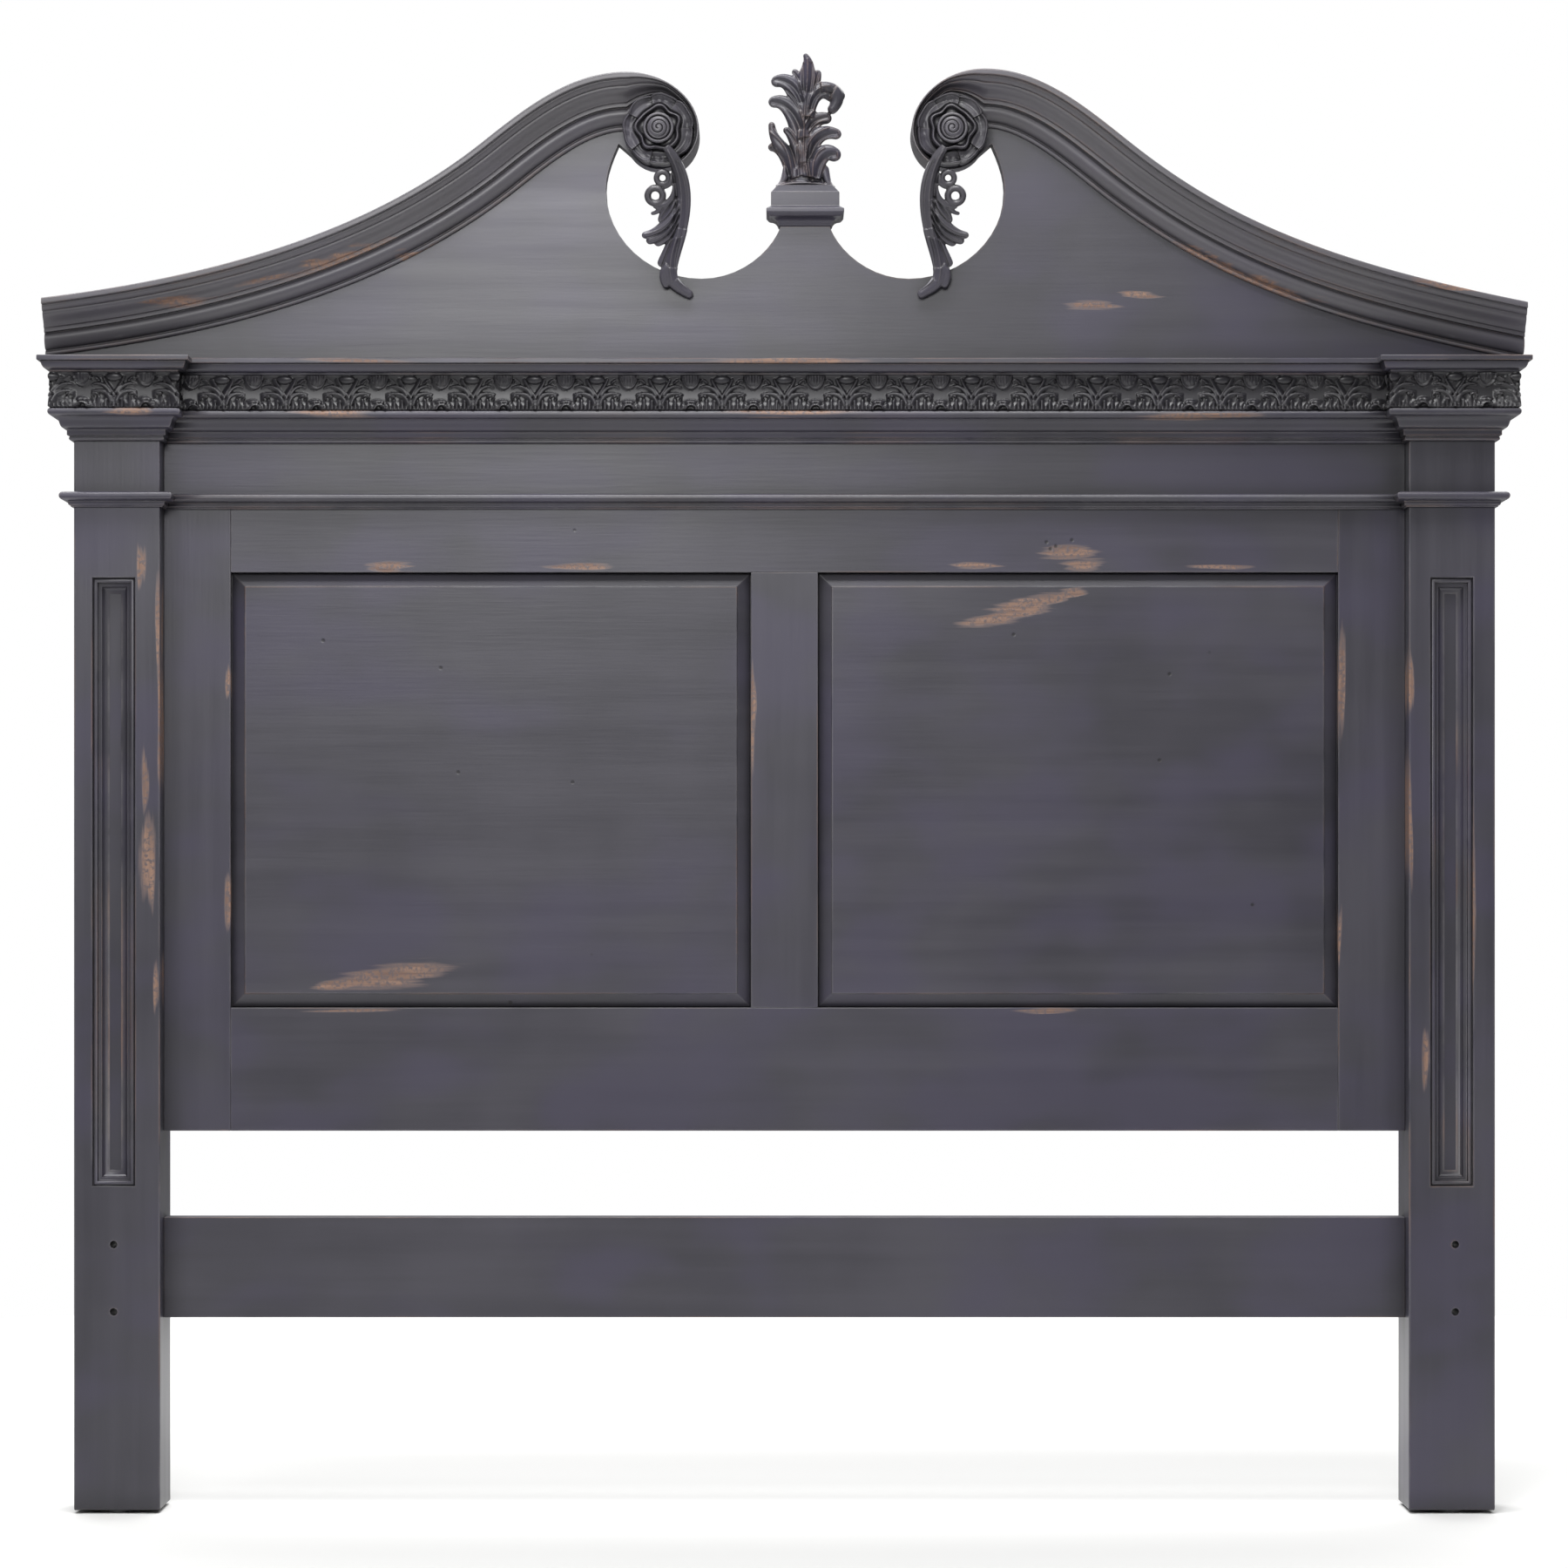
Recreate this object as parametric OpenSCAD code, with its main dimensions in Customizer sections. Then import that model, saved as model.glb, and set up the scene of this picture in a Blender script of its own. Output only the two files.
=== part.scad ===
// Bed headboard: a framed and panelled back between two pilaster posts, under a
// broken swan-neck pediment with carved rosettes, droppers and a leaf finial.
// Millimetres. +Z up, the front faces -Y, +X to the viewer's right. The origin is
// on the floor, under the middle of the cornice's width and depth.

/* [Posts] */
// Clear width between the two posts
inner_w = 1856; // [1700:1:2000]
// Width of each post
post_w = 128; // [118:1:140]
// Depth of each post, front to back
post_d = 113; // [108:1:125]
// How far the panel frame stands behind the post fronts
setback = 40; // [32:1:42]
// Height of the glides under the posts
glide_h = 5; // [3:1:8]

/* [Panel frame] */
// Thickness of the frame members and of the boards above them
board_t = 35; // [32:1:38]
// Underside of the panel frame above the floor
frame_z = 567; // [520:1:620]
// Height of the bottom rail
bottom_rail_h = 184; // [150:1:200]
// Height of the two panel openings
opening_h = 651; // [600:1:700]
// Height of the top rail, part of it behind the neck bead
top_rail_h = 105; // [95:1:130]
// Width of the outer stiles and the centre stile
stile_w = 100; // [80:1:120]
// Width of the sloping bevel around each raised panel
bevel_w = 21; // [16:1:28]

/* [Lower rail] */
// Underside of the lower rail above the floor
lower_rail_z = 288; // [260:1:300]
// Height of the lower rail
lower_rail_h = 150; // [130:1:160]

/* [Entablature] */
// Height of the neck bead
neck_bead_h = 22; // [20:1:24]
// Height of the plain band between the neck bead and the architrave moulding
band_h = 76; // [60:1:100]
// Height of the architrave moulding, from its cove to its ledge
architrave_h = 47; // [45:1:50]
// Height of the carved frieze
frieze_h = 52; // [46:1:60]
// Height of the cornice moulding under the cap
cornice_h = 16; // [14:1:18]
// Thickness of the cornice cap
cap_t = 8; // [7:1:10]
// How far the cap projects beyond the posts
cap_out = 48; // [46:1:52]
// Distance between the carved motifs along the frieze
motif_pitch = 93; // [80:1:110]

/* [Pediment] */
// How far the crest stands to the right of the middle
crest_shift = 31; // [0:1:40]
// Height of the pediment's outer ends above the cornice
end_rise = 87; // [84:1:95]
// Height of the swan necks above the cornice
neck_rise = 428; // [420:1:440]
// How much higher the hand-cut right neck stands than the left one
neck_uneven = 5; // [0:1:8]
// Distance of each rosette's centre from the crest's middle
rosette_out = 218; // [214:1:222]
// Height of the rosettes' centres above the cornice
rosette_rise = 340; // [336:1:344]
// Radius of each rosette
rosette_r = 58; // [54:1:60]
// Width of the crown moulding along each arm
crown_w = 48; // [44:1:52]
// Width of the bed moulding inside the crown moulding
bed_w = 33; // [28:1:36]
// Height of the finial's tip above the cornice
finial_rise = 464; // [454:1:480]

/* [Bed rail fixing] */
// Clearance radius of the bed bolts
bolt_r = 5.5; // [4.5:0.5:6.5]
// Distance between the two bed bolts, up the post
bolt_spacing = 100; // [80:1:110]
// Height of the lower bed bolt above the floor
bolt_z = 300; // [290:1:320]

/* [Hidden] */
$fn = 48;

// Levels, from the floor up
opening_z = frame_z + bottom_rail_h;
top_rail_z = opening_z + opening_h;
frame_top = top_rail_z + top_rail_h;
neck_bead_z = frame_top - neck_bead_h / 2;
architrave_z = neck_bead_z + neck_bead_h + band_h;
frieze_z = architrave_z + architrave_h;
cornice_z = frieze_z + frieze_h;
cap_z = cornice_z + cornice_h;
ped_z = cap_z + cap_t;

// Depths, from the front back
depth = post_d + cap_out;
cap_front = -depth / 2;
post_front = cap_front + cap_out;
post_back = depth / 2;
face_y = post_front + setback;
back_y = face_y + board_t;
mid_y = face_y + board_t / 2;

// Widths
half_inner = inner_w / 2;
half_outer = half_inner + post_w;
half_cap = half_outer + cap_out;
opening_w = (inner_w - 3 * stile_w) / 2;
opening_x = (stile_w + opening_w) / 2;

// Joinery
gap = 0.2;
tongue_t = 12;
tongue_l = 14;
groove_t = 8;
groove_l = 10;
tenon_l = 45;
rail_tenon_t = 20;
peg_r = 4;
screw_r = 2.25;
head_r = 4.5;
reach = 70;

// Recess down the front of each post
recess_w = 62.5;
recess_z = frame_z - 80;
recess_top = top_rail_z - 11;
recess_d = 18;
recess_band = 23;
recess_x_left = 5;
post_x = half_inner + post_w / 2;

// Bed bolts through the posts
bolt_x = half_inner + 69;
bolt_seat_r = 14;
bolt_seat_d = 15;

// Pediment lines, x from the crest's middle, z from the cornice
infl_x = 479;
infl_rise = 323;
infl_slope = 0.8;
end_slope = 0.16;
top_x = 266;
lip = 8;
scroll_r = rosette_r + 2;
seat_r = rosette_r - 2;
neck_half = 37;
neck_top = 202;
scoop_low = [155, 124];
scoop_out = [298, 258];
cusp = [279, 326];
plinth_half = 51;
plinth_depth = 31;
plinth_h = neck_top + 62;
leaf_t = 30;

post_color = "#4a4a52";
frame_color = "#54545c";
carved_color = "#3f3f46";
raw_color = "#7a4b31";
steel_color = "#9a9a9e";

// ---------- general shapes ----------

// Upright shape: a flat outline in x and z, given a thickness from y0 back to y1
module upright(y0, y1) {
    translate([0, y1, 0]) rotate([90, 0, 0]) linear_extrude(y1 - y0) children();
}

// Block from one corner to the other
module block(a, b) {
    translate(a) cube(b - a);
}

module mirrored(side) {
    if (side < 0) mirror([1, 0, 0]) children();
    else children();
}

// Rod along +Y from point a
module rod_y(a, r, l) {
    translate(a) rotate([-90, 0, 0]) cylinder(h = l, r = r);
}

// Countersunk slotted screw, head face at the origin, shank down -Z
module screw(l) {
    difference() {
        rotate_extrude() polygon([
            [0, 0], [head_r, 0], [head_r, -0.6], [screw_r, -3.2],
            [screw_r, 3 - l], [0.3, -l], [0, -l]
        ]);
        block([-head_r, -0.5, -1], [head_r, 0.5, 1]);
    }
}

// Hole for that screw
module screw_hole(l) {
    rotate_extrude() polygon([
        [0, 1], [head_r + gap, 1], [head_r + gap, -0.7], [screw_r + gap, -3.4],
        [screw_r + gap, 2.5 - l], [0.5, -l - gap], [0, -l - gap]
    ]);
}

function arc(cx, cz, r, a0, a1, n) =
    [for (i = [0:n]) [cx + r * cos(a0 + (a1 - a0) * i / n), cz + r * sin(a0 + (a1 - a0) * i / n)]];

function bezier(a, b, c, d, n) = [
    for (i = [0:n])
        let (t = i / n, s = 1 - t)
            s * s * s * a + 3 * s * s * t * b + 3 * s * t * t * c + t * t * t * d
];

function reversed(v) = [for (i = [len(v) - 1:-1:0]) v[i]];
function tail(v) = [for (i = [1:len(v) - 1]) v[i]];

// ---------- mouldings ----------

// Straight moulding along +X. Each profile point is [projection towards -Y, height].
module moulding(profile, l) {
    rotate([90, 0, 90]) linear_extrude(l) polygon([for (q = profile) [-q[0], q[1]]]);
}

// Middle run, between the posts, mitred into their inner returns
module centre_run(profile, z) {
    intersection() {
        translate([-half_inner, face_y, z]) moulding(profile, inner_w);
        linear_extrude(ped_z + 100) polygon([
            [-half_inner, face_y], [half_inner, face_y],
            [half_inner - reach, face_y - reach], [-half_inner + reach, face_y - reach]
        ]);
    }
}

// Run around the front, the outer side and the inner return of the right post
module post_run(profile, z) {
    h = ped_z + 100;
    x0 = half_inner;
    x1 = half_outer;
    y0 = post_front;
    intersection() {
        translate([x0 - reach, y0, z]) moulding(profile, post_w + 2 * reach);
        linear_extrude(h)
            polygon([[x0, y0], [x1, y0], [x1 + reach, y0 - reach], [x0 - reach, y0 - reach]]);
    }
    intersection() {
        translate([x1, y0 - reach, z]) rotate([0, 0, 90]) moulding(profile, post_d + reach);
        linear_extrude(h)
            polygon([[x1, y0], [x1 + reach, y0 - reach], [x1 + reach, post_back], [x1, post_back]]);
    }
    intersection() {
        translate([x0, face_y, z]) rotate([0, 0, -90]) moulding(profile, setback + reach);
        linear_extrude(h)
            polygon([[x0, y0], [x0, face_y], [x0 - reach, face_y - reach], [x0 - reach, y0 - reach]]);
    }
}

// Rounded nose of a ledge, from height z0 to z1 at projection p
function nose(p, z0, z1) =
    let (r = (z1 - z0) / 2) arc(p - r, z0 + r, r, -90, 90, 8);

neck_bead_profile = concat(
    [[0, 0], [4, 0], [7, 4], [7, neck_bead_h - 13]],
    nose(19.5, neck_bead_h - 13, neck_bead_h),
    [[0, neck_bead_h]]
);

architrave_profile = concat(
    [[0, 0], [4, 0], [4, 4], [6, 6], [9, 6], [9, 16], [15, 18]],
    arc(15, 35, 9, -90, 0, 6),
    nose(34, architrave_h - 12, architrave_h),
    [[0, architrave_h]]
);

frieze_profile = concat(
    [[0, 0], [33, 0]],
    arc(43, frieze_h * 0.55, 13.5, 200, 165, 4),
    [[30.5, frieze_h], [0, frieze_h]]
);

cornice_profile = concat(
    [[0, 0], [31, 0], [31, 3]],
    arc(31, cornice_h, cornice_h - 4, -90, 0, 6),
    [[0, cornice_h]]
);

// ---------- posts ----------

// The pilaster's sunk recess, centred on x, grown by g on every side
module recess(x, g, y1) {
    block([x - recess_w / 2 - g, post_front - 1, recess_z - g],
        [x + recess_w / 2 + g, y1, recess_top + g]);
}

// One post as the right-hand one, with its recess at x
module post(x) {
    difference() {
        block([half_inner, post_front, glide_h], [half_outer, post_back, cap_z]);
        recess(x, 0, post_front + recess_d);
        // groove for the stile's tongue and the architrave board's tongue
        block([half_inner - 1, mid_y - tongue_t / 2 - gap, frame_z + 30 - gap],
            [half_inner + tongue_l + gap, mid_y + tongue_t / 2 + gap, cornice_z + gap]);
        // mortise for the lower rail
        block([half_inner - 1, mid_y - rail_tenon_t / 2 - gap, lower_rail_z + 20 - gap],
            [half_inner + tenon_l + 1, mid_y + rail_tenon_t / 2 + gap,
                lower_rail_z + lower_rail_h - 20 + gap]);
        for (z = peg_heights) rod_y([peg_x, post_back - peg_l - gap, z], peg_r + gap, peg_l + 1);
        for (i = [0, 1]) {
            rod_y([bolt_x, post_front - 1, bolt_z + i * bolt_spacing], bolt_r, post_d + 2);
            rod_y([bolt_x, post_back - bolt_seat_d, bolt_z + i * bolt_spacing], bolt_seat_r, bolt_seat_d + 1);
        }
        for (y = glide_y) translate([post_x, y, glide_h - 1]) cylinder(h = glide_stem + 1 + gap, r = 2.5 + gap);
        for (y = cap_screw_y) translate([post_x, y, ped_z]) screw_hole(cap_screw_l);
    }
}

peg_x = half_inner + 22;
peg_l = 85;
peg_heights = [lower_rail_z + 45, lower_rail_z + lower_rail_h - 45];
glide_y = [post_front + 25, post_back - 25];
glide_stem = 16;
cap_screw_y = [post_front + 16, post_back - 16];
cap_screw_l = 45;

module left_post() {
    color(post_color) mirror([1, 0, 0]) post(post_x + recess_x_left);
}

module right_post() {
    color(post_color) post(post_x);
}

// Mitred sticking that lines the recess: a bead, a hollow and a slope down to its floor
module recess_moulding(x) {
    w = recess_w - 2 * gap;
    h = recess_top - recess_z - 2 * gap;
    // each point is [distance in from the recess's wall, depth below the post's face]
    sticking = concat(
        [[0, recess_d], [0, 3]],
        arc(4, 4.5, 3, 200, 360, 6),
        [[8, 8], [12, 8], [12, 10.5], [recess_band, recess_d - 1.5], [recess_band, recess_d]]
    );
    translate([x, post_front, (recess_z + recess_top) / 2]) {
        for (s = [-1, 1]) {
            scale([s, 1, 1]) stick(sticking, w, h);
            scale([1, 1, s]) rotate([0, 90, 0]) stick(sticking, h, w);
        }
    }
}

// One mitred stick at the -X side of a frame of outer size w by h, centred at the origin
module stick(profile, w, h) {
    intersection() {
        translate([-w / 2, 0, -h / 2]) linear_extrude(h) polygon([for (q = profile) [q[0], q[1]]]);
        upright(-1, recess_d + 1)
            polygon([[-w / 2, -h / 2], [-w / 2, h / 2], [-w / 2 + recess_band + 1, h / 2 - recess_band - 1],
                [-w / 2 + recess_band + 1, -h / 2 + recess_band + 1]]);
    }
}

module left_recess_moulding() {
    color(carved_color) recess_moulding(-post_x - recess_x_left);
}

module right_recess_moulding() {
    color(carved_color) recess_moulding(post_x);
}

module foot_glides() {
    for (y = glide_y) translate([post_x, y, 0]) {
        cylinder(h = glide_h, r = 18);
        translate([0, 0, glide_h]) cylinder(h = glide_stem, r = 2.5);
    }
}

module left_foot_glides() {
    color("#2b2b2d") mirror([1, 0, 0]) foot_glides();
}

module right_foot_glides() {
    color("#2b2b2d") foot_glides();
}

// ---------- rails, stiles and panels ----------

module lower_rail() {
    l = half_inner + tenon_l;
    color(frame_color) difference() {
        union() {
            block([-half_inner, face_y, lower_rail_z], [half_inner, back_y, lower_rail_z + lower_rail_h]);
            block([-l, mid_y - rail_tenon_t / 2, lower_rail_z + 20],
                [l, mid_y + rail_tenon_t / 2, lower_rail_z + lower_rail_h - 20]);
        }
        for (s = [-1, 1], z = peg_heights)
            rod_y([s * peg_x, mid_y - rail_tenon_t / 2 - 1, z], peg_r + gap, rail_tenon_t + 2);
    }
}

module lower_rail_pegs() {
    color(raw_color) for (s = [-1, 1], z = peg_heights)
        rod_y([s * peg_x, post_back - peg_l, z], peg_r, peg_l);
}

// Pegs through the panel frame's tenons, from the back
frame_peg_l = 28;
frame_peg_z = [frame_z + 55, frame_z + bottom_rail_h - 55, top_rail_z + 35, top_rail_z + 70];
rail_half = half_inner - stile_w;
frame_peg_x = rail_half + 22;

module frame_peg_holes() {
    for (s = [-1, 1], z = frame_peg_z)
        rod_y([s * frame_peg_x, back_y - frame_peg_l - gap, z], peg_r + gap, frame_peg_l + 1);
}

module frame_pegs() {
    color(raw_color) for (s = [-1, 1], z = frame_peg_z)
        rod_y([s * frame_peg_x, back_y - frame_peg_l, z], peg_r, frame_peg_l);
}

// Groove that holds the panels' tongues: a slot cut round both openings
module panel_grooves() {
    for (s = [-1, 1])
        block([s * opening_x - opening_w / 2 - groove_l, mid_y - groove_t / 2 - gap, opening_z - groove_l],
            [s * opening_x + opening_w / 2 + groove_l, mid_y + groove_t / 2 + gap, top_rail_z + groove_l]);
}

// A rail between the outer stiles, with a tenon at each end
module frame_rail(z0, z1) {
    difference() {
        union() {
            block([-rail_half, face_y, z0], [rail_half, back_y, z1]);
            block([-rail_half - tenon_l, mid_y - tongue_t / 2, z0 + 18],
                [rail_half + tenon_l, mid_y + tongue_t / 2, z1 - 18]);
        }
        panel_grooves();
        frame_peg_holes();
        // mortises for the centre stile
        block([-stile_w / 2 + 15 - gap, mid_y - tongue_t / 2 - gap, opening_z - tenon_l - 1],
            [stile_w / 2 - 15 + gap, mid_y + tongue_t / 2 + gap, top_rail_z + tenon_l + 1]);
    }
}

module bottom_rail() {
    color(frame_color) frame_rail(frame_z, opening_z);
}

module top_rail() {
    color(frame_color) frame_rail(top_rail_z, frame_top);
}

// Outer stile on the right-hand side, tongued into the post
module outer_stile() {
    difference() {
        union() {
            block([rail_half, face_y, frame_z], [half_inner, back_y, frame_top]);
            block([half_inner - 1, mid_y - tongue_t / 2, frame_z + 30],
                [half_inner + tongue_l, mid_y + tongue_t / 2, frame_top]);
        }
        panel_grooves();
        frame_peg_holes();
        for (z = [[frame_z, opening_z], [top_rail_z, frame_top]])
            block([rail_half - 1, mid_y - tongue_t / 2 - gap, z[0] + 18 - gap],
                [rail_half + tenon_l + 1, mid_y + tongue_t / 2 + gap, z[1] - 18 + gap]);
    }
}

module left_stile() {
    color(frame_color) mirror([1, 0, 0]) outer_stile();
}

module right_stile() {
    color(frame_color) outer_stile();
}

module centre_stile() {
    color(frame_color) difference() {
        union() {
            block([-stile_w / 2, face_y, opening_z], [stile_w / 2, back_y, top_rail_z]);
            block([-stile_w / 2 + 15, mid_y - tongue_t / 2, opening_z - tenon_l],
                [stile_w / 2 - 15, mid_y + tongue_t / 2, top_rail_z + tenon_l]);
        }
        // the same grooves, but only beside the openings, so the tenons stay whole
        intersection() {
            panel_grooves();
            block([-stile_w, face_y, opening_z - 0.5], [stile_w, back_y, top_rail_z + 0.5]);
        }
    }
}

// Section of a raised panel across a half size h: tongue, quirk, bevel, raised field
function panel_section(h) =
    let (t = groove_l - 2, f = face_y + 1.5, g0 = mid_y - groove_t / 2, g1 = mid_y + groove_t / 2)
        [
            [-h - t, g1], [-h - t, g0], [-h + 1.5, g0], [-h + 1.5, g0 - 2.5], [-h + bevel_w, f + 2],
            [-h + bevel_w, f], [h - bevel_w, f], [h - bevel_w, f + 2], [h - 1.5, g0 - 2.5],
            [h - 1.5, g0], [h + t, g0], [h + t, g1]
        ];

module panel(x) {
    hw = opening_w / 2;
    hh = opening_h / 2;
    translate([x, 0, opening_z + hh]) intersection() {
        translate([0, 0, -hh - groove_l]) linear_extrude(opening_h + 2 * groove_l)
            polygon(panel_section(hw));
        translate([-hw - groove_l, 0, 0]) rotate([90, 0, 90]) linear_extrude(opening_w + 2 * groove_l)
            polygon([for (q = panel_section(hh)) [q[1], q[0]]]);
    }
}

module left_panel() {
    color(frame_color) panel(-opening_x);
}

module right_panel() {
    color(frame_color) panel(opening_x);
}

// ---------- entablature ----------

pediment_dowel_x = [-800, -300, 300, 800];
pediment_dowel_r = 5;
dowel_down = 30;
dowel_up = 25;

batten_x = [-560, crest_shift, 590];
batten_w = 60;
batten_t = 22;
batten_z = neck_bead_z + 40;
batten_screw_z = [batten_z + 25, cap_z - 50, ped_z + 45, ped_z + 125];
batten_screw_l = 47;

module batten_screw_places() {
    for (x = batten_x, z = batten_screw_z)
        translate([x, back_y + batten_t, z]) rotate([-90, 0, 0]) children();
}

module architrave_board() {
    color(frame_color) difference() {
        union() {
            block([-half_inner, face_y, frame_top], [half_inner, back_y, cap_z]);
            block([-half_inner - tongue_l, mid_y - tongue_t / 2, frame_top],
                [half_inner + tongue_l, mid_y + tongue_t / 2, cornice_z]);
        }
        for (x = pediment_dowel_x)
            translate([x, mid_y, cap_z - dowel_down]) cylinder(h = dowel_down + 1, r = pediment_dowel_r + gap);
        batten_screw_places() screw_hole(batten_screw_l);
    }
}

// Triangular blocks glued in the corners between the frame's back and the posts
module corner_blocks() {
    leg = 26;
    color(raw_color) for (s = [-1, 1], z = [frame_z + 60, (frame_z + frame_top) / 2, frame_top - 120])
        translate([s * half_inner, back_y, z]) linear_extrude(80)
            polygon([[0, 0], [-s * leg, 0], [0, leg]]);
}

module neck_bead_centre() {
    color(frame_color) centre_run(neck_bead_profile, neck_bead_z);
}

module neck_bead_left() {
    color(post_color) mirror([1, 0, 0]) post_run(neck_bead_profile, neck_bead_z);
}

module neck_bead_right() {
    color(post_color) post_run(neck_bead_profile, neck_bead_z);
}

module architrave_moulding_centre() {
    color(frame_color) centre_run(architrave_profile, architrave_z);
}

module architrave_moulding_left() {
    color(post_color) mirror([1, 0, 0]) post_run(architrave_profile, architrave_z);
}

module architrave_moulding_right() {
    color(post_color) post_run(architrave_profile, architrave_z);
}

// Half-round petals carved along the frieze, each a flat round boss on its face
module petals(n) {
    for (i = [0:n - 1]) translate([(i - (n - 1) / 2) * motif_pitch, 0, frieze_h * 0.3])
        rotate([90, 0, 0]) cylinder(h = 32, r = frieze_h * 0.22, $fn = 24);
}

module frieze_centre() {
    color(carved_color) {
        centre_run(frieze_profile, frieze_z);
        translate([0, face_y, frieze_z]) petals(floor(inner_w / motif_pitch) - 1);
    }
}

module frieze_block() {
    post_run(frieze_profile, frieze_z);
    translate([post_x, post_front, frieze_z]) petals(2);
}

module frieze_left() {
    color(carved_color) mirror([1, 0, 0]) frieze_block();
}

module frieze_right() {
    color(carved_color) frieze_block();
}

module cornice_moulding_centre() {
    color(frame_color) centre_run(cornice_profile, cornice_z);
}

module cornice_moulding_left() {
    color(post_color) mirror([1, 0, 0]) post_run(cornice_profile, cornice_z);
}

module cornice_moulding_right() {
    color(post_color) post_run(cornice_profile, cornice_z);
}

// One board that caps the whole width and breaks forward over the posts
module cornice_cap() {
    x0 = half_inner - cap_out;
    y1 = face_y - cap_out;
    color(frame_color) difference() {
        translate([0, 0, cap_z]) linear_extrude(cap_t) polygon([
            [-half_cap, cap_front], [-x0, cap_front], [-x0, y1], [x0, y1], [x0, cap_front],
            [half_cap, cap_front], [half_cap, post_back], [half_inner, post_back],
            [half_inner, back_y], [-half_inner, back_y], [-half_inner, post_back],
            [-half_cap, post_back]
        ]);
        for (x = pediment_dowel_x)
            translate([x, mid_y, cap_z - 1]) cylinder(h = cap_t + 2, r = pediment_dowel_r + gap);
        for (s = [-1, 1], y = cap_screw_y)
            translate([s * post_x, y, ped_z]) screw_hole(cap_screw_l);
    }
}

module cap_screws() {
    color(steel_color) for (s = [-1, 1], y = cap_screw_y)
        translate([s * post_x, y, ped_z]) screw(cap_screw_l);
}

// ---------- pediment ----------

// Everything below is drawn from the crest's middle, with z from the cornice
module at_crest() {
    translate([crest_shift, 0, ped_z]) children();
}

function arm_end(side) = half_cap - side * crest_shift;

// Outer line of one arm, from beyond its outer end to the underside of its scroll
function arm_line(side) =
    let (
        uneven = side * neck_uneven,
        e = [arm_end(side), end_rise - 0.6 * uneven],
        slope = end_slope + 0.008 * uneven,
        infl = [infl_x, infl_rise + 0.2 * uneven],
        t = [top_x, neck_rise + 0.5 * uneven],
        s = [rosette_out - scroll_r, rosette_rise]
    )
    concat(
        [e + 20 * [1, -slope]],
        bezier(e, e + 300 * [-1, slope], infl + 147 * [1, -infl_slope], infl, 16),
        tail(bezier(infl, infl + 70 * [-1, infl_slope], t + [80, 0], t, 10)),
        tail(bezier(t, t - [60, 0], s + [0, 45], s, 8)),
        tail(arc(rosette_out, rosette_rise, scroll_r, 180, 235, 5))
    );

// The same line moved inwards by s, but less where it curls around the rosette. Its
// points nearer the crest's middle than x_min are left out.
function inset_line(side, s, x_min = 0) =
    let (v = arm_line(side), n = len(v) - 1)
        [
            for (i = [0:n])
                if (v[i][0] > x_min) let (
                    d = v[min(i + 1, n)] - v[max(i - 1, 0)],
                    curl = min(1, max(0, (v[i][0] < top_x ? (top_x - v[i][0]) / 60 : 0))),
                    k = s * (1 - curl) + min(s, 14) * curl
                )
                    v[i] + k * [-d[1], d[0]] / norm(d)
        ];

// Flat band along the arm between two distances from its outer line
module arm_band(side, s0, s1, x_min = 0) {
    polygon(concat(inset_line(side, s0, x_min), reversed(inset_line(side, s1, x_min))));
}

// Cuts an arm's shape square at its outer end, and round the rosette as far back as y1
module trimmed_arm(side, y1) {
    difference() {
        children();
        block([arm_end(side), -200, -50], [arm_end(side) + 100, 200, 300]);
        rod_y([rosette_out, -200, rosette_rise], seat_r + gap, 200 + y1);
    }
}

// Steps of the crown moulding: [how far in it reaches, y of its front], outermost last
crown_steps = [
    [crown_w, face_y - 20], [crown_w - 7, face_y - 24], [crown_w - 15, face_y - 30],
    [crown_w - 23, face_y - 36], [crown_w - 31, face_y - 40], [lip, face_y - 46]
];

module crown_moulding(side) {
    trimmed_arm(side, face_y) {
        union() {
            for (i = [0:len(crown_steps) - 1]) {
                y1 = i == 0 ? face_y : crown_steps[i - 1][1];
                upright(crown_steps[i][1], y1) arm_band(side, 0, crown_steps[i][0]);
            }
            // lip that lies over the pediment board's edge
            upright(face_y, back_y) arm_band(side, 0, lip);
        }
    }
}

module left_crown_moulding() {
    color(post_color) at_crest() mirror([1, 0, 0]) crown_moulding(-1);
}

module right_crown_moulding() {
    color(post_color) at_crest() crown_moulding(1);
}

bed_steps = [[bed_w, face_y - 6], [bed_w - 7, face_y - 9], [bed_w - 11, face_y - 14], [bed_w - 18, face_y - 17]];

module bed_moulding(side) {
    trimmed_arm(side, back_y) {
        union() {
            for (i = [0:len(bed_steps) - 1]) {
                y1 = i == 0 ? face_y : bed_steps[i - 1][1];
                upright(bed_steps[i][1], y1)
                    arm_band(side, crown_w, crown_w + bed_steps[i][0], rosette_out + 20);
            }
        }
    }
}

module left_bed_moulding() {
    color(frame_color) at_crest() mirror([1, 0, 0]) bed_moulding(-1);
}

module right_bed_moulding() {
    color(frame_color) at_crest() bed_moulding(1);
}

// Half of the cut-out's line, from the neck's top down, round and up to the cusp
scoop_line = concat(
    [[neck_half, neck_top]],
    bezier([neck_half, neck_top - 1], [50, 166], [95, scoop_low[1]], scoop_low, 10),
    tail(bezier(scoop_low, [232, scoop_low[1]], [scoop_out[0], 182], scoop_out, 12)),
    tail(bezier(scoop_out, [scoop_out[0], 280], [290, 302], cusp, 5))
);

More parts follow.
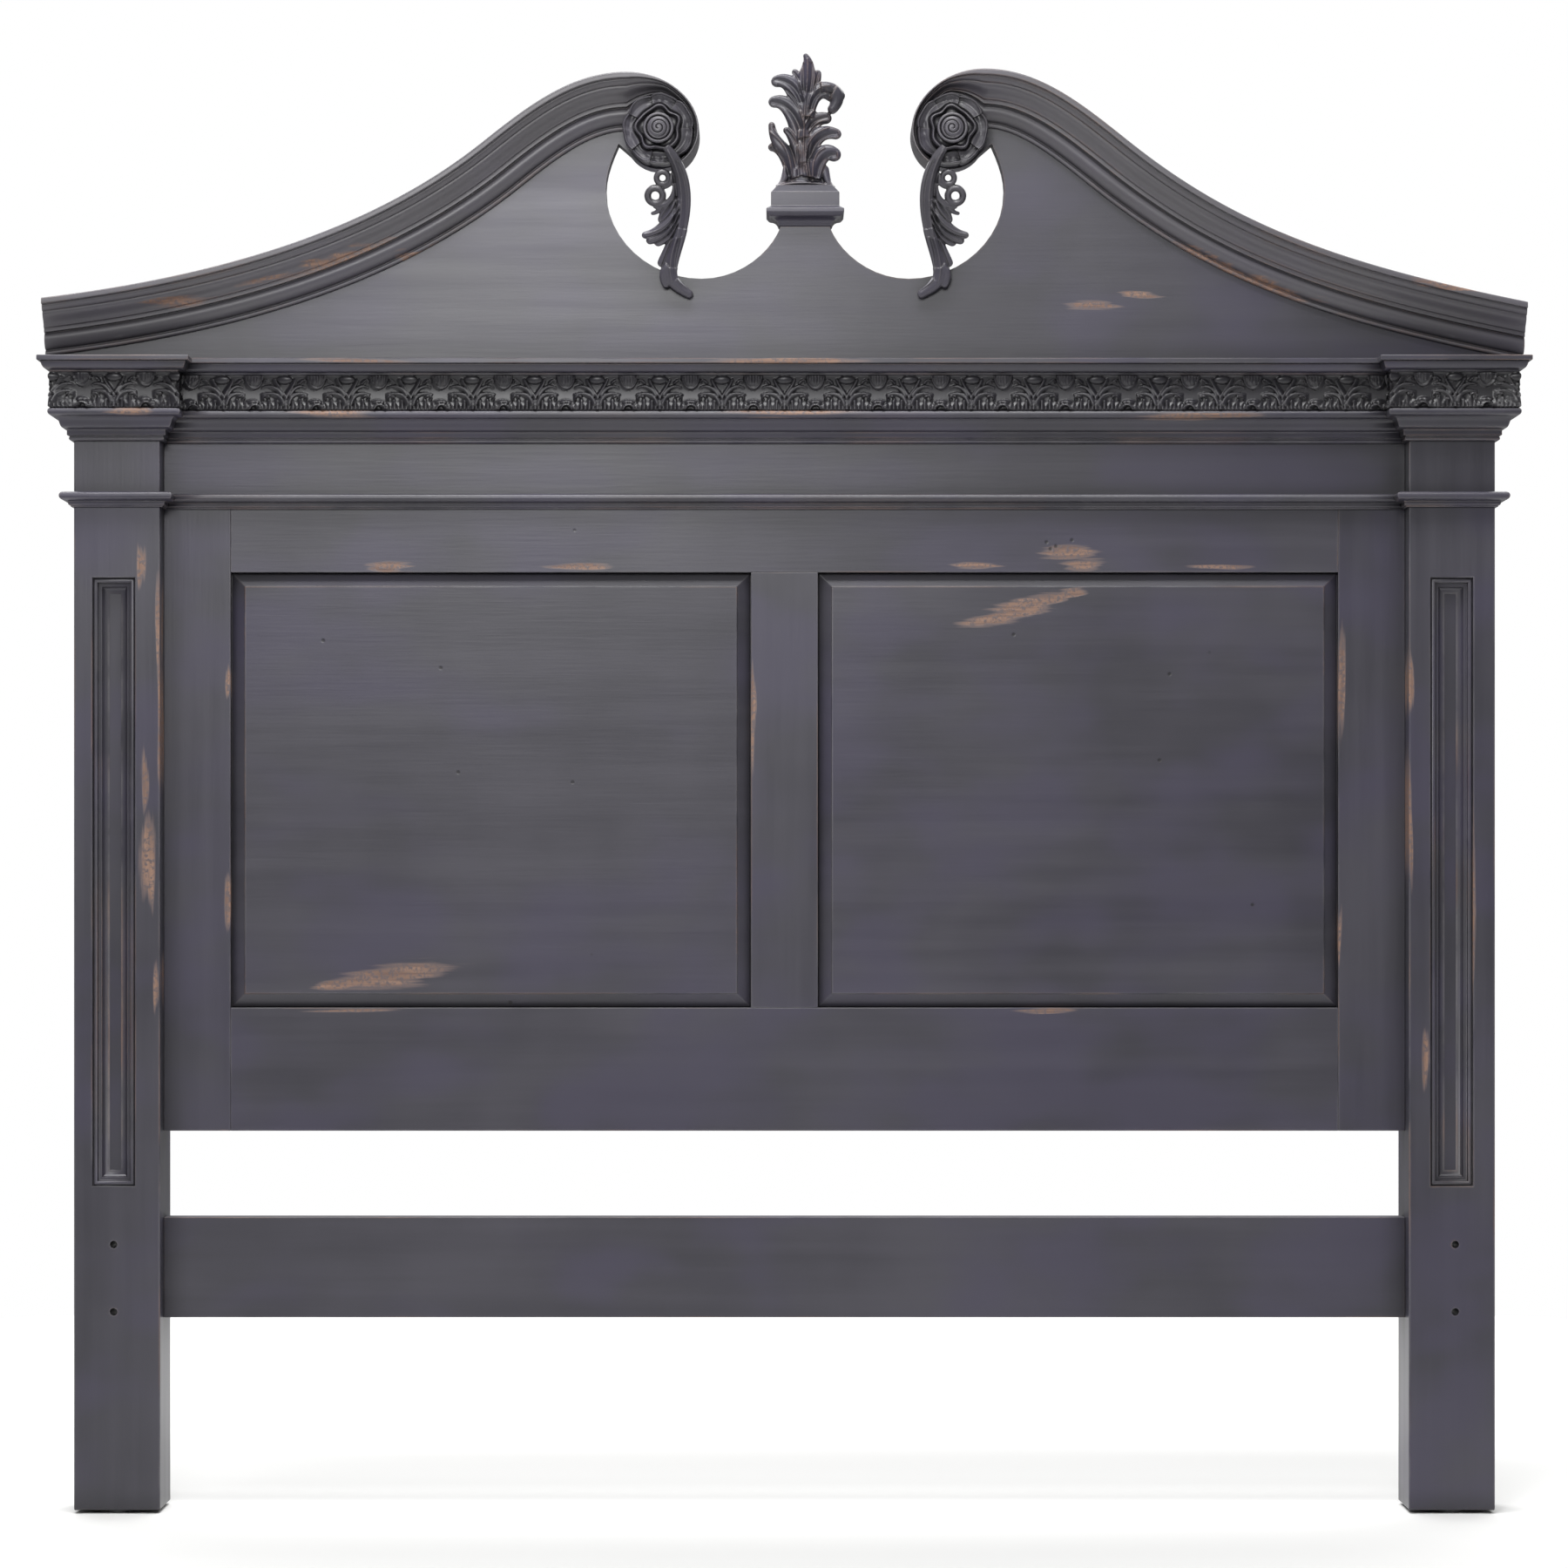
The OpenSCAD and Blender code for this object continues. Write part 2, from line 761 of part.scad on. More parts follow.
// Half outline of the pediment board, from its foot out, up the arm and back to the neck
function board_half(side) =
    let (
        edge = [for (p = inset_line(side, lip)) if (p[0] < arm_end(side)) p],
        corner = [arm_end(side), end_rise - 0.6 * side * neck_uneven - lip]
    )
        concat(
            [[arm_end(side), 0], corner],
            edge,
            arc(rosette_out, rosette_rise, scroll_r - lip, 245, 325, 8),
            reversed(scoop_line)
        );

module pediment_board() {
    color(frame_color) at_crest() difference() {
        upright(face_y, back_y) polygon(concat(
            board_half(1),
            [for (p = reversed(board_half(-1))) [-p[0], p[1]]]
        ));
        for (x = pediment_dowel_x)
            translate([x - crest_shift, mid_y, -1]) cylinder(h = dowel_up + 1 + gap, r = pediment_dowel_r + gap);
        for (s = [-1, 1])
            rod_y([s * rosette_out, face_y - 1, rosette_rise], dowel_r + gap, rosette_dowel_l / 2 + 1 + gap);
        for (s = [-1, 1]) rod_y([s * foot_pin[0], face_y - 1, foot_pin[1]], pin_r + gap, 15);
        translate([0, mid_y, neck_top - finial_dowel_down - gap])
            cylinder(h = finial_dowel_down + 2, r = dowel_r + gap);
        translate([-crest_shift, 0, -ped_z]) batten_screw_places() screw_hole(batten_screw_l);
    }
}

module pediment_dowels() {
    color(raw_color) for (x = pediment_dowel_x)
        translate([x, mid_y, cap_z - dowel_down]) cylinder(h = dowel_down + cap_t + dowel_up, r = pediment_dowel_r);
}

// ---------- rosettes ----------

dowel_r = 8;
rosette_dowel_l = 44;
rosette_front = face_y - 50;
pin_r = 1.5;
foot_pin = [190, 108];
top_pin = [200, rosette_rise - 40];

// Rose: a round block, five overlapping petals in two rings, and a stepped bud
module rosette() {
    difference() {
        union() {
            rod_y([0, rosette_front, 0], seat_r, face_y - rosette_front);
            for (i = [0:4]) rotate([0, 72 * i + 90, 0])
                rod_y([rosette_r - 29, rosette_front - 4, 0], 24, 6);
            for (i = [0:4]) rotate([0, 72 * i + 54, 0])
                rod_y([17, rosette_front - 10, 0], 19, 12);
            for (i = [0:3]) rod_y([0, rosette_front - 14 - 2.5 * i, 0], 24 - 5.5 * i, 8);
        }
        rod_y([0, face_y - rosette_dowel_l / 2 - gap, 0], dowel_r + gap, rosette_dowel_l);
    }
}

module place_rosette(side) {
    color(carved_color) at_crest() difference() {
        translate([side * rosette_out, 0, rosette_rise]) rosette();
        rod_y([side * top_pin[0], rosette_front - 40, top_pin[1]], pin_r + gap, 55);
        mirrored(side) dropper_top_seat();
    }
}

module left_rosette() {
    place_rosette(-1);
}

module right_rosette() {
    place_rosette(1);
}

module rosette_dowels() {
    color(raw_color) at_crest() for (s = [-1, 1])
        rod_y([s * rosette_out, face_y - rosette_dowel_l / 2, rosette_rise], dowel_r, rosette_dowel_l);
}

// ---------- droppers ----------

// The dropper hangs from the rosette's lower petals and leans back to the board's face
dropper_t = 15;
dropper_top_y = rosette_front - 14;
dropper_foot_y = face_y - dropper_t;
dropper_top_z = rosette_rise - 24;
dropper_foot_z = 96;
lean = atan((dropper_foot_y - dropper_top_y) / (dropper_top_z - dropper_foot_z));

// Curved leaf or stem, t thick, along a bezier in x and z. It tapers from half width
// w0 to w1 and ends in a round tip.
module lobe(a, b, c, d, w0, w1, t) {
    n = 10;
    v = bezier(a, b, c, d, n);
    w = [for (i = [0:n]) w0 + (w1 - w0) * i / n];
    e = d - c;
    tip = atan2(e[1], e[0]);
    sides = [for (i = [0:n]) let (g = v[min(i + 1, n)] - v[max(i - 1, 0)]) w[i] * [-g[1], g[0]] / norm(g)];
    upright(-t / 2, t / 2) polygon(concat(
        [for (i = [0:n]) v[i] + sides[i]],
        arc(d[0], d[1], w1, tip + 60, tip - 60, 6),
        [for (i = [n:-1:0]) v[i] - sides[i]]
    ));
}

ring_upper = [211, -50];
ring_lower = [223, -78];

// The dropper before it leans, x outwards from the crest's middle, z down from its top
module dropper_carving() {
    t = dropper_t;
    difference() {
        union() {
            // stem from the bud down to the foot
            lobe([207, -4], [172, -50], [174, -100], [188, -135], 6, 8, t);
            lobe([187, -128], [193, -152], [198, -172], [196, -197], 8, 7, t);
            // foot, kicked towards the crest
            lobe([199, -186], [200, -204], [188, -214], [172, -224], 11, 5, t);
            lobe([198, -180], [208, -186], [212, -198], [208, -208], 8, 6, t);
            // tails that carry the two rings
            lobe([204, -14], [192, -30], [192, -52], [206, -62], 5, 4, t - 5);
            lobe([188, -58], [191, -82], [204, -94], [221, -93], 6, 5, t - 5);
            rod_y([ring_upper[0], 4 - t / 2, ring_upper[1]], 12.5, t - 6);
            rod_y([ring_lower[0], 4 - t / 2, ring_lower[1]], 15, t - 6);
            // large leaf in two folds, and a small leaf, curling away from the crest
            lobe([186, -84], [194, -106], [212, -134], [236, -139], 10, 5, t - 3);
            lobe([190, -104], [200, -138], [210, -146], [226, -148], 11, 6, t - 2);
            lobe([194, -142], [200, -160], [207, -168], [216, -178], 9, 4, t - 3);
        }
        rod_y([ring_upper[0], -t, ring_upper[1]], 5.8, 2 * t);
        rod_y([ring_lower[0], -t, ring_lower[1]], 7, 2 * t);
    }
}

// Places what is drawn like the dropper: its top at the bud, leaning back to the board
module leaned() {
    translate([0, dropper_top_y + dropper_t / 2, dropper_top_z]) rotate([lean, 0, 0]) children();
}

// Seat cut in the rosette under the top of the dropper
module dropper_top_seat() {
    t = dropper_t + 2 * gap;
    leaned() {
        lobe([210, 2], [170, -48], [172, -100], [188, -135], 8, 10, t);
        lobe([206, -10], [192, -30], [192, -52], [206, -62], 6, 5, t);
        rod_y([ring_upper[0], -t / 2, ring_upper[1]], 13, t);
    }
}

module dropper() {
    difference() {
        leaned() dropper_carving();
        // the foot is planed flat where it meets the board
        block([100, face_y, 0], [300, face_y + 60, 130]);
        rod_y([foot_pin[0], face_y - 40, foot_pin[1]], pin_r + gap, 60);
        rod_y([top_pin[0], rosette_front - 40, top_pin[1]], pin_r + gap, 60);
    }
}

module left_dropper() {
    color(carved_color) at_crest() mirror([1, 0, 0]) dropper();
}

module right_dropper() {
    color(carved_color) at_crest() dropper();
}

module dropper_pins() {
    color(steel_color) at_crest() for (s = [-1, 1]) {
        rod_y([s * foot_pin[0], face_y - 12, foot_pin[1]], pin_r, 24);
        rod_y([s * top_pin[0], rosette_front - 6, top_pin[1]], pin_r, 18);
    }
}

// ---------- finial ----------

finial_dowel_down = 45;
finial_dowel_up = 90;

// Section of the plinth across a half width h: cove, ledge, block and chamfer
module plinth_prism(h) {
    v = concat(
        [[h - 13, neck_top]],
        arc(h + 2, neck_top, 13, 170, 100, 5),
        [
            [h + 3, neck_top + 14], [h + 7, neck_top + 19], [h + 7, neck_top + 25],
            [h + 2, neck_top + 28], [h, neck_top + 29], [h, plinth_h - 12],
            [h - 10, plinth_h]
        ]
    );
    upright(-2 * h, 2 * h) polygon(concat(v, [for (p = reversed(v)) [-p[0], p[1]]]));
}

module finial_plinth() {
    color(post_color) at_crest() translate([0, mid_y, 0]) difference() {
        intersection() {
            plinth_prism(plinth_half);
            rotate([0, 0, 90]) plinth_prism(plinth_depth);
        }
        translate([0, 0, neck_top - 1]) cylinder(h = plinth_h - neck_top + 2, r = dowel_r + gap);
    }
}

// Acanthus: a flared base, a stem, a pointed crown and lobes that curl out
module acanthus() {
    z = plinth_h;
    t = leaf_t;
    upright(-t / 2, t / 2)
        polygon([[-42, z], [42, z], [33, z + 10], [29, z + 24], [-29, z + 24], [-33, z + 10]]);
    lobe([0, z + 10], [0, z + 54], [-3, z + 95], [2, z + 150], 28, 9, t - 4);
    // crown
    lobe([2, z + 130], [-1, z + 158], [2, z + 176], [1, finial_rise - 7], 14, 7, t - 8);
    lobe([0, z + 138], [-4, z + 161], [-9, z + 169], [-17, z + 172], 12, 4, t - 10);
    lobe([4, z + 138], [8, z + 157], [12, z + 166], [18, z + 169], 10, 4, t - 10);
    // left side, from the top
    lobe([0, z + 116], [-8, z + 150], [-24, z + 165], [-46, z + 155], 16, 7, t - 8);
    lobe([0, z + 74], [-8, z + 112], [-26, z + 134], [-49, z + 122], 17, 7, t - 8);
    lobe([-12, z + 24], [-26, z + 62], [-50, z + 62], [-51, z + 92], 12, 5, t - 6);
    lobe([-4, z + 34], [-14, z + 66], [-22, z + 80], [-30, z + 83], 12, 5, t - 8);
    lobe([-16, z + 16], [-24, z + 44], [-36, z + 58], [-51, z + 58], 12, 5, t - 8);
    // right side, from the top
    lobe([2, z + 106], [8, z + 146], [30, z + 156], [44, z + 134], 11, 9, t - 4);
    lobe([42, z + 140], [50, z + 134], [48, z + 123], [40, z + 115], 10, 4, t - 8);
    lobe([2, z + 76], [8, z + 97], [18, z + 106], [31, z + 105], 13, 6, t - 10);
    lobe([0, z + 36], [8, z + 76], [26, z + 90], [48, z + 78], 13, 7, t - 8);
    lobe([10, z + 16], [18, z + 46], [30, z + 56], [45, z + 48], 13, 9, t - 4);
}

module finial_leaf() {
    color(carved_color) at_crest() translate([0, mid_y, 0]) difference() {
        acanthus();
        translate([0, 0, plinth_h - 1])
            cylinder(h = finial_dowel_up - (plinth_h - neck_top) + 1 + gap, r = dowel_r + gap);
    }
}

module finial_dowel() {
    color(raw_color) at_crest() translate([0, mid_y, neck_top - finial_dowel_down])
        cylinder(h = finial_dowel_down + finial_dowel_up, r = dowel_r);
}

// ---------- back bracing ----------

module batten(x, top) {
    color(raw_color) difference() {
        block([x - batten_w / 2, back_y, batten_z], [x + batten_w / 2, back_y + batten_t, ped_z + top]);
        batten_screw_places() screw_hole(batten_screw_l);
    }
}

module left_batten() {
    batten(batten_x[0], 165);
}

module centre_batten() {
    batten(batten_x[1], 150);
}

module right_batten() {
    batten(batten_x[2], 165);
}

module batten_screws() {
    color(steel_color) batten_screw_places() screw(batten_screw_l);
}

left_post();
right_post();
left_recess_moulding();
right_recess_moulding();
left_foot_glides();
right_foot_glides();
lower_rail();
lower_rail_pegs();
bottom_rail();
top_rail();
left_stile();
right_stile();
centre_stile();
left_panel();
right_panel();
frame_pegs();
architrave_board();
corner_blocks();
neck_bead_centre();
neck_bead_left();
neck_bead_right();
architrave_moulding_centre();
architrave_moulding_left();
architrave_moulding_right();
frieze_centre();
frieze_left();
frieze_right();
cornice_moulding_centre();
cornice_moulding_left();
cornice_moulding_right();
cornice_cap();
cap_screws();
pediment_board();
pediment_dowels();
left_crown_moulding();
right_crown_moulding();
left_bed_moulding();
right_bed_moulding();
left_rosette();
right_rosette();
rosette_dowels();
left_dropper();
right_dropper();
dropper_pins();
finial_plinth();
finial_leaf();
finial_dowel();
left_batten();
centre_batten();
right_batten();
batten_screws();
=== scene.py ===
"""Looks of the bed headboard: softened joinery, swept mouldings, carved frieze, roses,
droppers and finial, all in distressed charcoal paint over mahogany."""

import math

import bmesh
import bpy
import numpy as np
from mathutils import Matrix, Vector


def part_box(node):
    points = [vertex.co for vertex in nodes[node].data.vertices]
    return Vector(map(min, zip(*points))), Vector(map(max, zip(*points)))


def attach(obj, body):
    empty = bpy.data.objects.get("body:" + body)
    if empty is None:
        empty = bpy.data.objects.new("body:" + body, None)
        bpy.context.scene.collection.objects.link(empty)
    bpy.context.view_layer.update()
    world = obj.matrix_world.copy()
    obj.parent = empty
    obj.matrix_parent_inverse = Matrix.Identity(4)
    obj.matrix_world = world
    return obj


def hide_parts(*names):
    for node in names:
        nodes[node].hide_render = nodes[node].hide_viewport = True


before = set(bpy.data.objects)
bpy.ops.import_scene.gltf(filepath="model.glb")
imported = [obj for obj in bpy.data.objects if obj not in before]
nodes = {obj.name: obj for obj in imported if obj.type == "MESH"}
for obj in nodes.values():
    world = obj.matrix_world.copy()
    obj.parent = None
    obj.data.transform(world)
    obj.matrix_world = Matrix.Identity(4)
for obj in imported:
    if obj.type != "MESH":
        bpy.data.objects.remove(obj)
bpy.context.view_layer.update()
MM = 0.001


# ---------- places, in millimetres, worked out from the frame ----------

def corners(node):
    lo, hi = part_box(node)
    return lo / MM, hi / MM


def height_of(node):
    lo, hi = corners(node)
    return hi.z - lo.z


post_lo, post_hi = corners("right_post")
board_lo, board_hi = corners("pediment_board")
cap_hi = corners("cornice_cap")[1]
plinth_lo, plinth_hi = corners("finial_plinth")
rose_lo, rose_hi = corners("right_rosette")
inner, outer = post_lo.x, post_hi.x
post_front, post_back = post_lo.y, post_hi.y
face_y, back_y = board_lo.y, board_hi.y
mid_y = (face_y + back_y) / 2
half_cap = cap_hi.x
crest_x = (plinth_lo.x + plinth_hi.x) / 2
crest_z = cap_hi.z
plinth_top = plinth_hi.z - crest_z


# ---------- curves ----------

def bezier(a, b, c, d, n):
    a, b, c, d = (np.array(p, float) for p in (a, b, c, d))
    t = np.linspace(0, 1, n + 1)[:, None]
    s = 1 - t
    return s ** 3 * a + 3 * s * s * t * b + 3 * s * t * t * c + t ** 3 * d


def arc(x, y, r, start, end, n):
    a = np.radians(np.linspace(start, end, n + 1))
    return np.stack([x + r * np.cos(a), y + r * np.sin(a)], 1)


def eased(profile, r=0.8):
    """The closed outline with each sharp corner rounded by about r."""
    p = np.array(profile, float)
    out = []
    for before, here, after in zip(np.roll(p, 1, 0), p, np.roll(p, -1, 0)):
        u, v = before - here, after - here
        lu, lv = np.linalg.norm(u), np.linalg.norm(v)
        turn = -(u @ v) / (lu * lv)
        if turn > 0.9:
            out.append(here)
            continue
        a, b = here + u * min(r / lu, 0.4), here + v * min(r / lv, 0.4)
        out += [a, (a + 2 * here + b) / 4, b]
    return np.array(out)


def nearest(points, line):
    """Each point's distance to a polyline, and how far along it the nearest place is, 0 to 1."""
    best = np.full(len(points), 1e9)
    along = np.zeros(len(points))
    n = len(line) - 1
    for i in range(n):
        a, d = line[i], line[i + 1] - line[i]
        t = np.clip(((points - a) @ d) / (d @ d), 0, 1)
        away = np.linalg.norm(points - a - t[:, None] * d, axis=1)
        closer = away < best
        best = np.where(closer, away, best)
        along = np.where(closer, (i + t) / n, along)
    return best, along


def ridge(points, line, width, height, thin=0.5):
    """A rounded ridge along the line, thin times as wide and high at its far end."""
    away, along = nearest(points, line)
    k = 1 - (1 - thin) * along
    return height * k * np.sqrt(np.clip(1 - (away / (width * k)) ** 2, 0, 1))


def smooth_step(x, lo, hi):
    t = np.clip((x - lo) / (hi - lo), 0, 1)
    return t * t * (3 - 2 * t)


# ---------- meshes ----------

def finish_mesh(mesh, sharp=38):
    bm = bmesh.new()
    bm.from_mesh(mesh)
    bmesh.ops.remove_doubles(bm, verts=bm.verts, dist=1e-6)
    bmesh.ops.recalc_face_normals(bm, faces=bm.faces)
    bm.to_mesh(mesh)
    bm.free()
    mesh.shade_smooth()
    mesh.set_sharp_from_angle(angle=math.radians(sharp))


def linked(name, mesh):
    piece = bpy.data.objects.new(name, mesh)
    bpy.context.scene.collection.objects.link(piece)
    return piece


def new_piece(name, points, faces, sharp=38):
    """A piece from points in millimetres."""
    mesh = bpy.data.meshes.new(name)
    mesh.from_pydata((np.asarray(points) * MM).tolist(), [], faces)
    finish_mesh(mesh, sharp)
    return linked(name, mesh)


def skin_faces(n, k, first=0):
    """Quads over n rings of k points each, with both ends closed."""
    i, j = np.meshgrid(np.arange(n - 1), np.arange(k), indexing="ij")
    a, b = i * k + j, i * k + (j + 1) % k
    quads = (np.stack([a, b, b + k, a + k], -1).reshape(-1, 4) + first).tolist()
    near_end = list(range(first + k - 1, first - 1, -1))
    far_end = list(range(first + (n - 1) * k, first + n * k))
    return [*quads, near_end, far_end]


def skin(name, rings, sharp=38):
    rings = np.asarray(rings, float)
    return new_piece(name, rings.reshape(-1, 3), skin_faces(*rings.shape[:2]), sharp)


def fused(name, shells, voxel):
    """One surface round several overlapping closed shells, each an array of rings."""
    points, faces = [], []
    for rings in shells:
        faces += skin_faces(*rings.shape[:2], first=sum(len(p) for p in points))
        points.append(rings.reshape(-1, 3))
    piece = new_piece(name, np.concatenate(points), faces)
    remesh = piece.modifiers.new("fuse", "REMESH")
    remesh.mode = "VOXEL"
    remesh.voxel_size = voxel * MM
    soft = piece.modifiers.new("soften", "SMOOTH")
    soft.iterations = 2
    shaped = piece.evaluated_get(bpy.context.evaluated_depsgraph_get())
    baked = bpy.data.meshes.new_from_object(shaped)
    piece.modifiers.clear()
    piece.data = baked
    return piece


def reshape(piece, change):
    """Moves the piece's vertices. change gets places and normals and returns new places, in
    millimetres."""
    mesh = piece.data
    co = np.empty(len(mesh.vertices) * 3)
    mesh.vertices.foreach_get("co", co)
    normals = np.empty(len(mesh.vertices) * 3)
    mesh.vertex_normals.foreach_get("vector", normals)
    co = change(co.reshape(-1, 3) / MM, normals.reshape(-1, 3)) * MM
    mesh.vertices.foreach_set("co", co.ravel())
    mesh.update()
    mesh.shade_smooth()


def stands_for(piece, node, material):
    """Gives the piece its material, and puts it in the place of its CAD node."""
    piece.data.materials.clear()
    piece.data.materials.append(material)
    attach(piece, "root")
    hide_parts(node)


def softened(node, material, width=1.2, longest=12):
    """The CAD node's own shape with its long sharp edges rounded."""
    mesh = nodes[node].data.copy()
    mesh.materials.clear()
    bm = bmesh.new()
    bm.from_mesh(mesh)
    bmesh.ops.remove_doubles(bm, verts=bm.verts, dist=2e-6)
    bmesh.ops.dissolve_limit(bm, angle_limit=0.01, verts=bm.verts, edges=bm.edges)
    long_edges = [
        e for e in bm.edges
        if len(e.link_faces) == 2 and e.calc_face_angle(0) > 0.45 and e.calc_length() > longest * MM
    ]
    bmesh.ops.bevel(
        bm, geom=long_edges, offset=width * MM, segments=3, profile=0.5, affect="EDGES",
        clamp_overlap=True
    )
    bm.to_mesh(mesh)
    bm.free()
    mesh.shade_smooth()
    mesh.set_sharp_from_angle(angle=math.radians(30))
    piece = linked(node + "_shape", mesh)
    piece.modifiers.new("normals", "WEIGHTED_NORMAL").keep_sharp = True
    stands_for(piece, node, material)
    return piece


# ---------- materials ----------

def put(tree, socket, value):
    if isinstance(value, bpy.types.NodeSocket):
        tree.links.new(value, socket)
    elif isinstance(value, tuple) and len(value) == 3 and socket.type == "RGBA":
        socket.default_value = (*value, 1)
    else:
        socket.default_value = value


def add(tree, kind, inputs=None, **settings):
    node = tree.nodes.new("ShaderNode" + kind)
    for key, value in settings.items():
        setattr(node, key, value)
    for key, value in (inputs or {}).items():
        put(tree, node.inputs[key], value)
    return node


def calc(tree, operation, *values):
    node = add(tree, "Math", operation=operation)
    for socket, value in zip(node.inputs, values):
        put(tree, socket, value)
    return node.outputs[0]


def step(tree, value, lo, hi):
    """0 below lo, 1 above hi, smooth between."""
    return add(
        tree, "MapRange", {"Value": value, "From Min": lo, "From Max": hi}, interpolation_type="SMOOTHSTEP"
    ).outputs[0]


def blend(tree, factor, a, b):
    node = add(tree, "Mix", data_type="RGBA")
    put(tree, node.inputs[0], factor)
    put(tree, node.inputs[6], a)
    put(tree, node.inputs[7], b)
    return node.outputs[2]


def noise(tree, place, scale, detail=4, roughness=0.55):
    return add(
        tree, "TexNoise",
        {"Vector": place, "Scale": scale, "Detail": detail, "Roughness": roughness},
    ).outputs["Fac"]


def stretched(tree, place, scale):
    return add(tree, "Mapping", {"Vector": place, "Scale": scale}).outputs[0]


def vector_math(tree, operation, a, b=None):
    inputs = {0: a} if b is None else {0: a, 1: b}
    node = add(tree, "VectorMath", inputs, operation=operation)
    return node.outputs["Value" if operation in ("LENGTH", "DOT_PRODUCT") else "Vector"]


# How much the paint's streaks are drawn out along the grain
GRAIN = {"x": (1.0, 22, 22), "z": (22, 22, 1.0), "none": (6, 6, 6)}
PAINT_DARK = (0.033, 0.0315, 0.041)
PAINT_LIGHT = (0.059, 0.056, 0.071)
PAINT_VIOLET = (0.054, 0.048, 0.080)
# Dark glaze colour, also used as painted shade in the hollows
PAINT_GLAZE = (0.011, 0.0105, 0.012)
# Light rubbed paint, for worn edges with their painted highlight and for overall wear with painted sheen
PAINT_RUBBED = (0.150, 0.142, 0.150)
PAINT_THIN = (0.150, 0.112, 0.108)
WOOD_LIGHT = (0.34, 0.195, 0.125)
WOOD_DARK = (0.150, 0.082, 0.058)
PIT_DARK = (0.008, 0.007, 0.008)
MAHOGANY_LIGHT = (0.29, 0.135, 0.072)
MAHOGANY_DARK = (0.13, 0.052, 0.028)
MAHOGANY_PORE = (0.07, 0.028, 0.016)
# Radius within which an edge counts as rubbed and gets its painted highlight, in metres
EDGE_REACH = 0.0035
# How far the ragged noise moves a spot's outline, along the grain and across it, in metres
RAGGED_ALONG, RAGGED_ACROSS = 0.10, 0.018


def spot_mask(tree, place, spots):
    """1 inside the rubbed spots, falling to 0 round them. Each spot is (x, z, half length,
    half height, tilt in degrees), in millimetres."""
    total = None
    for x, z, long, high, tilt in spots:
        centre = Vector((x, 0, z)) * MM
        local = vector_math(tree, "SUBTRACT", place, centre)
        turned = add(
            tree, "VectorRotate", {"Vector": local, "Angle": math.radians(tilt)}, rotation_type="Y_AXIS"
        ).outputs[0]
        sized = vector_math(tree, "MULTIPLY", turned, (1 / (long * MM), 0.0, 1 / (high * MM)))
        away = vector_math(tree, "LENGTH", sized)
        spot = step(tree, away, 1.7, 0.2)
        total = spot if total is None else calc(tree, "MAXIMUM", total, spot)
    return total


def dent_mask(tree, place, dents):
    """1 inside small round dents at (x, z), in millimetres."""
    total = None
    for x, z in dents:
        centre = Vector((x, 0, z)) * MM
        flat = vector_math(tree, "MULTIPLY", vector_math(tree, "SUBTRACT", place, centre), (1, 0, 1))
        dent = step(tree, vector_math(tree, "LENGTH", flat), 0.004, 0.001)
        total = dent if total is None else calc(tree, "MAXIMUM", total, dent)
    return total


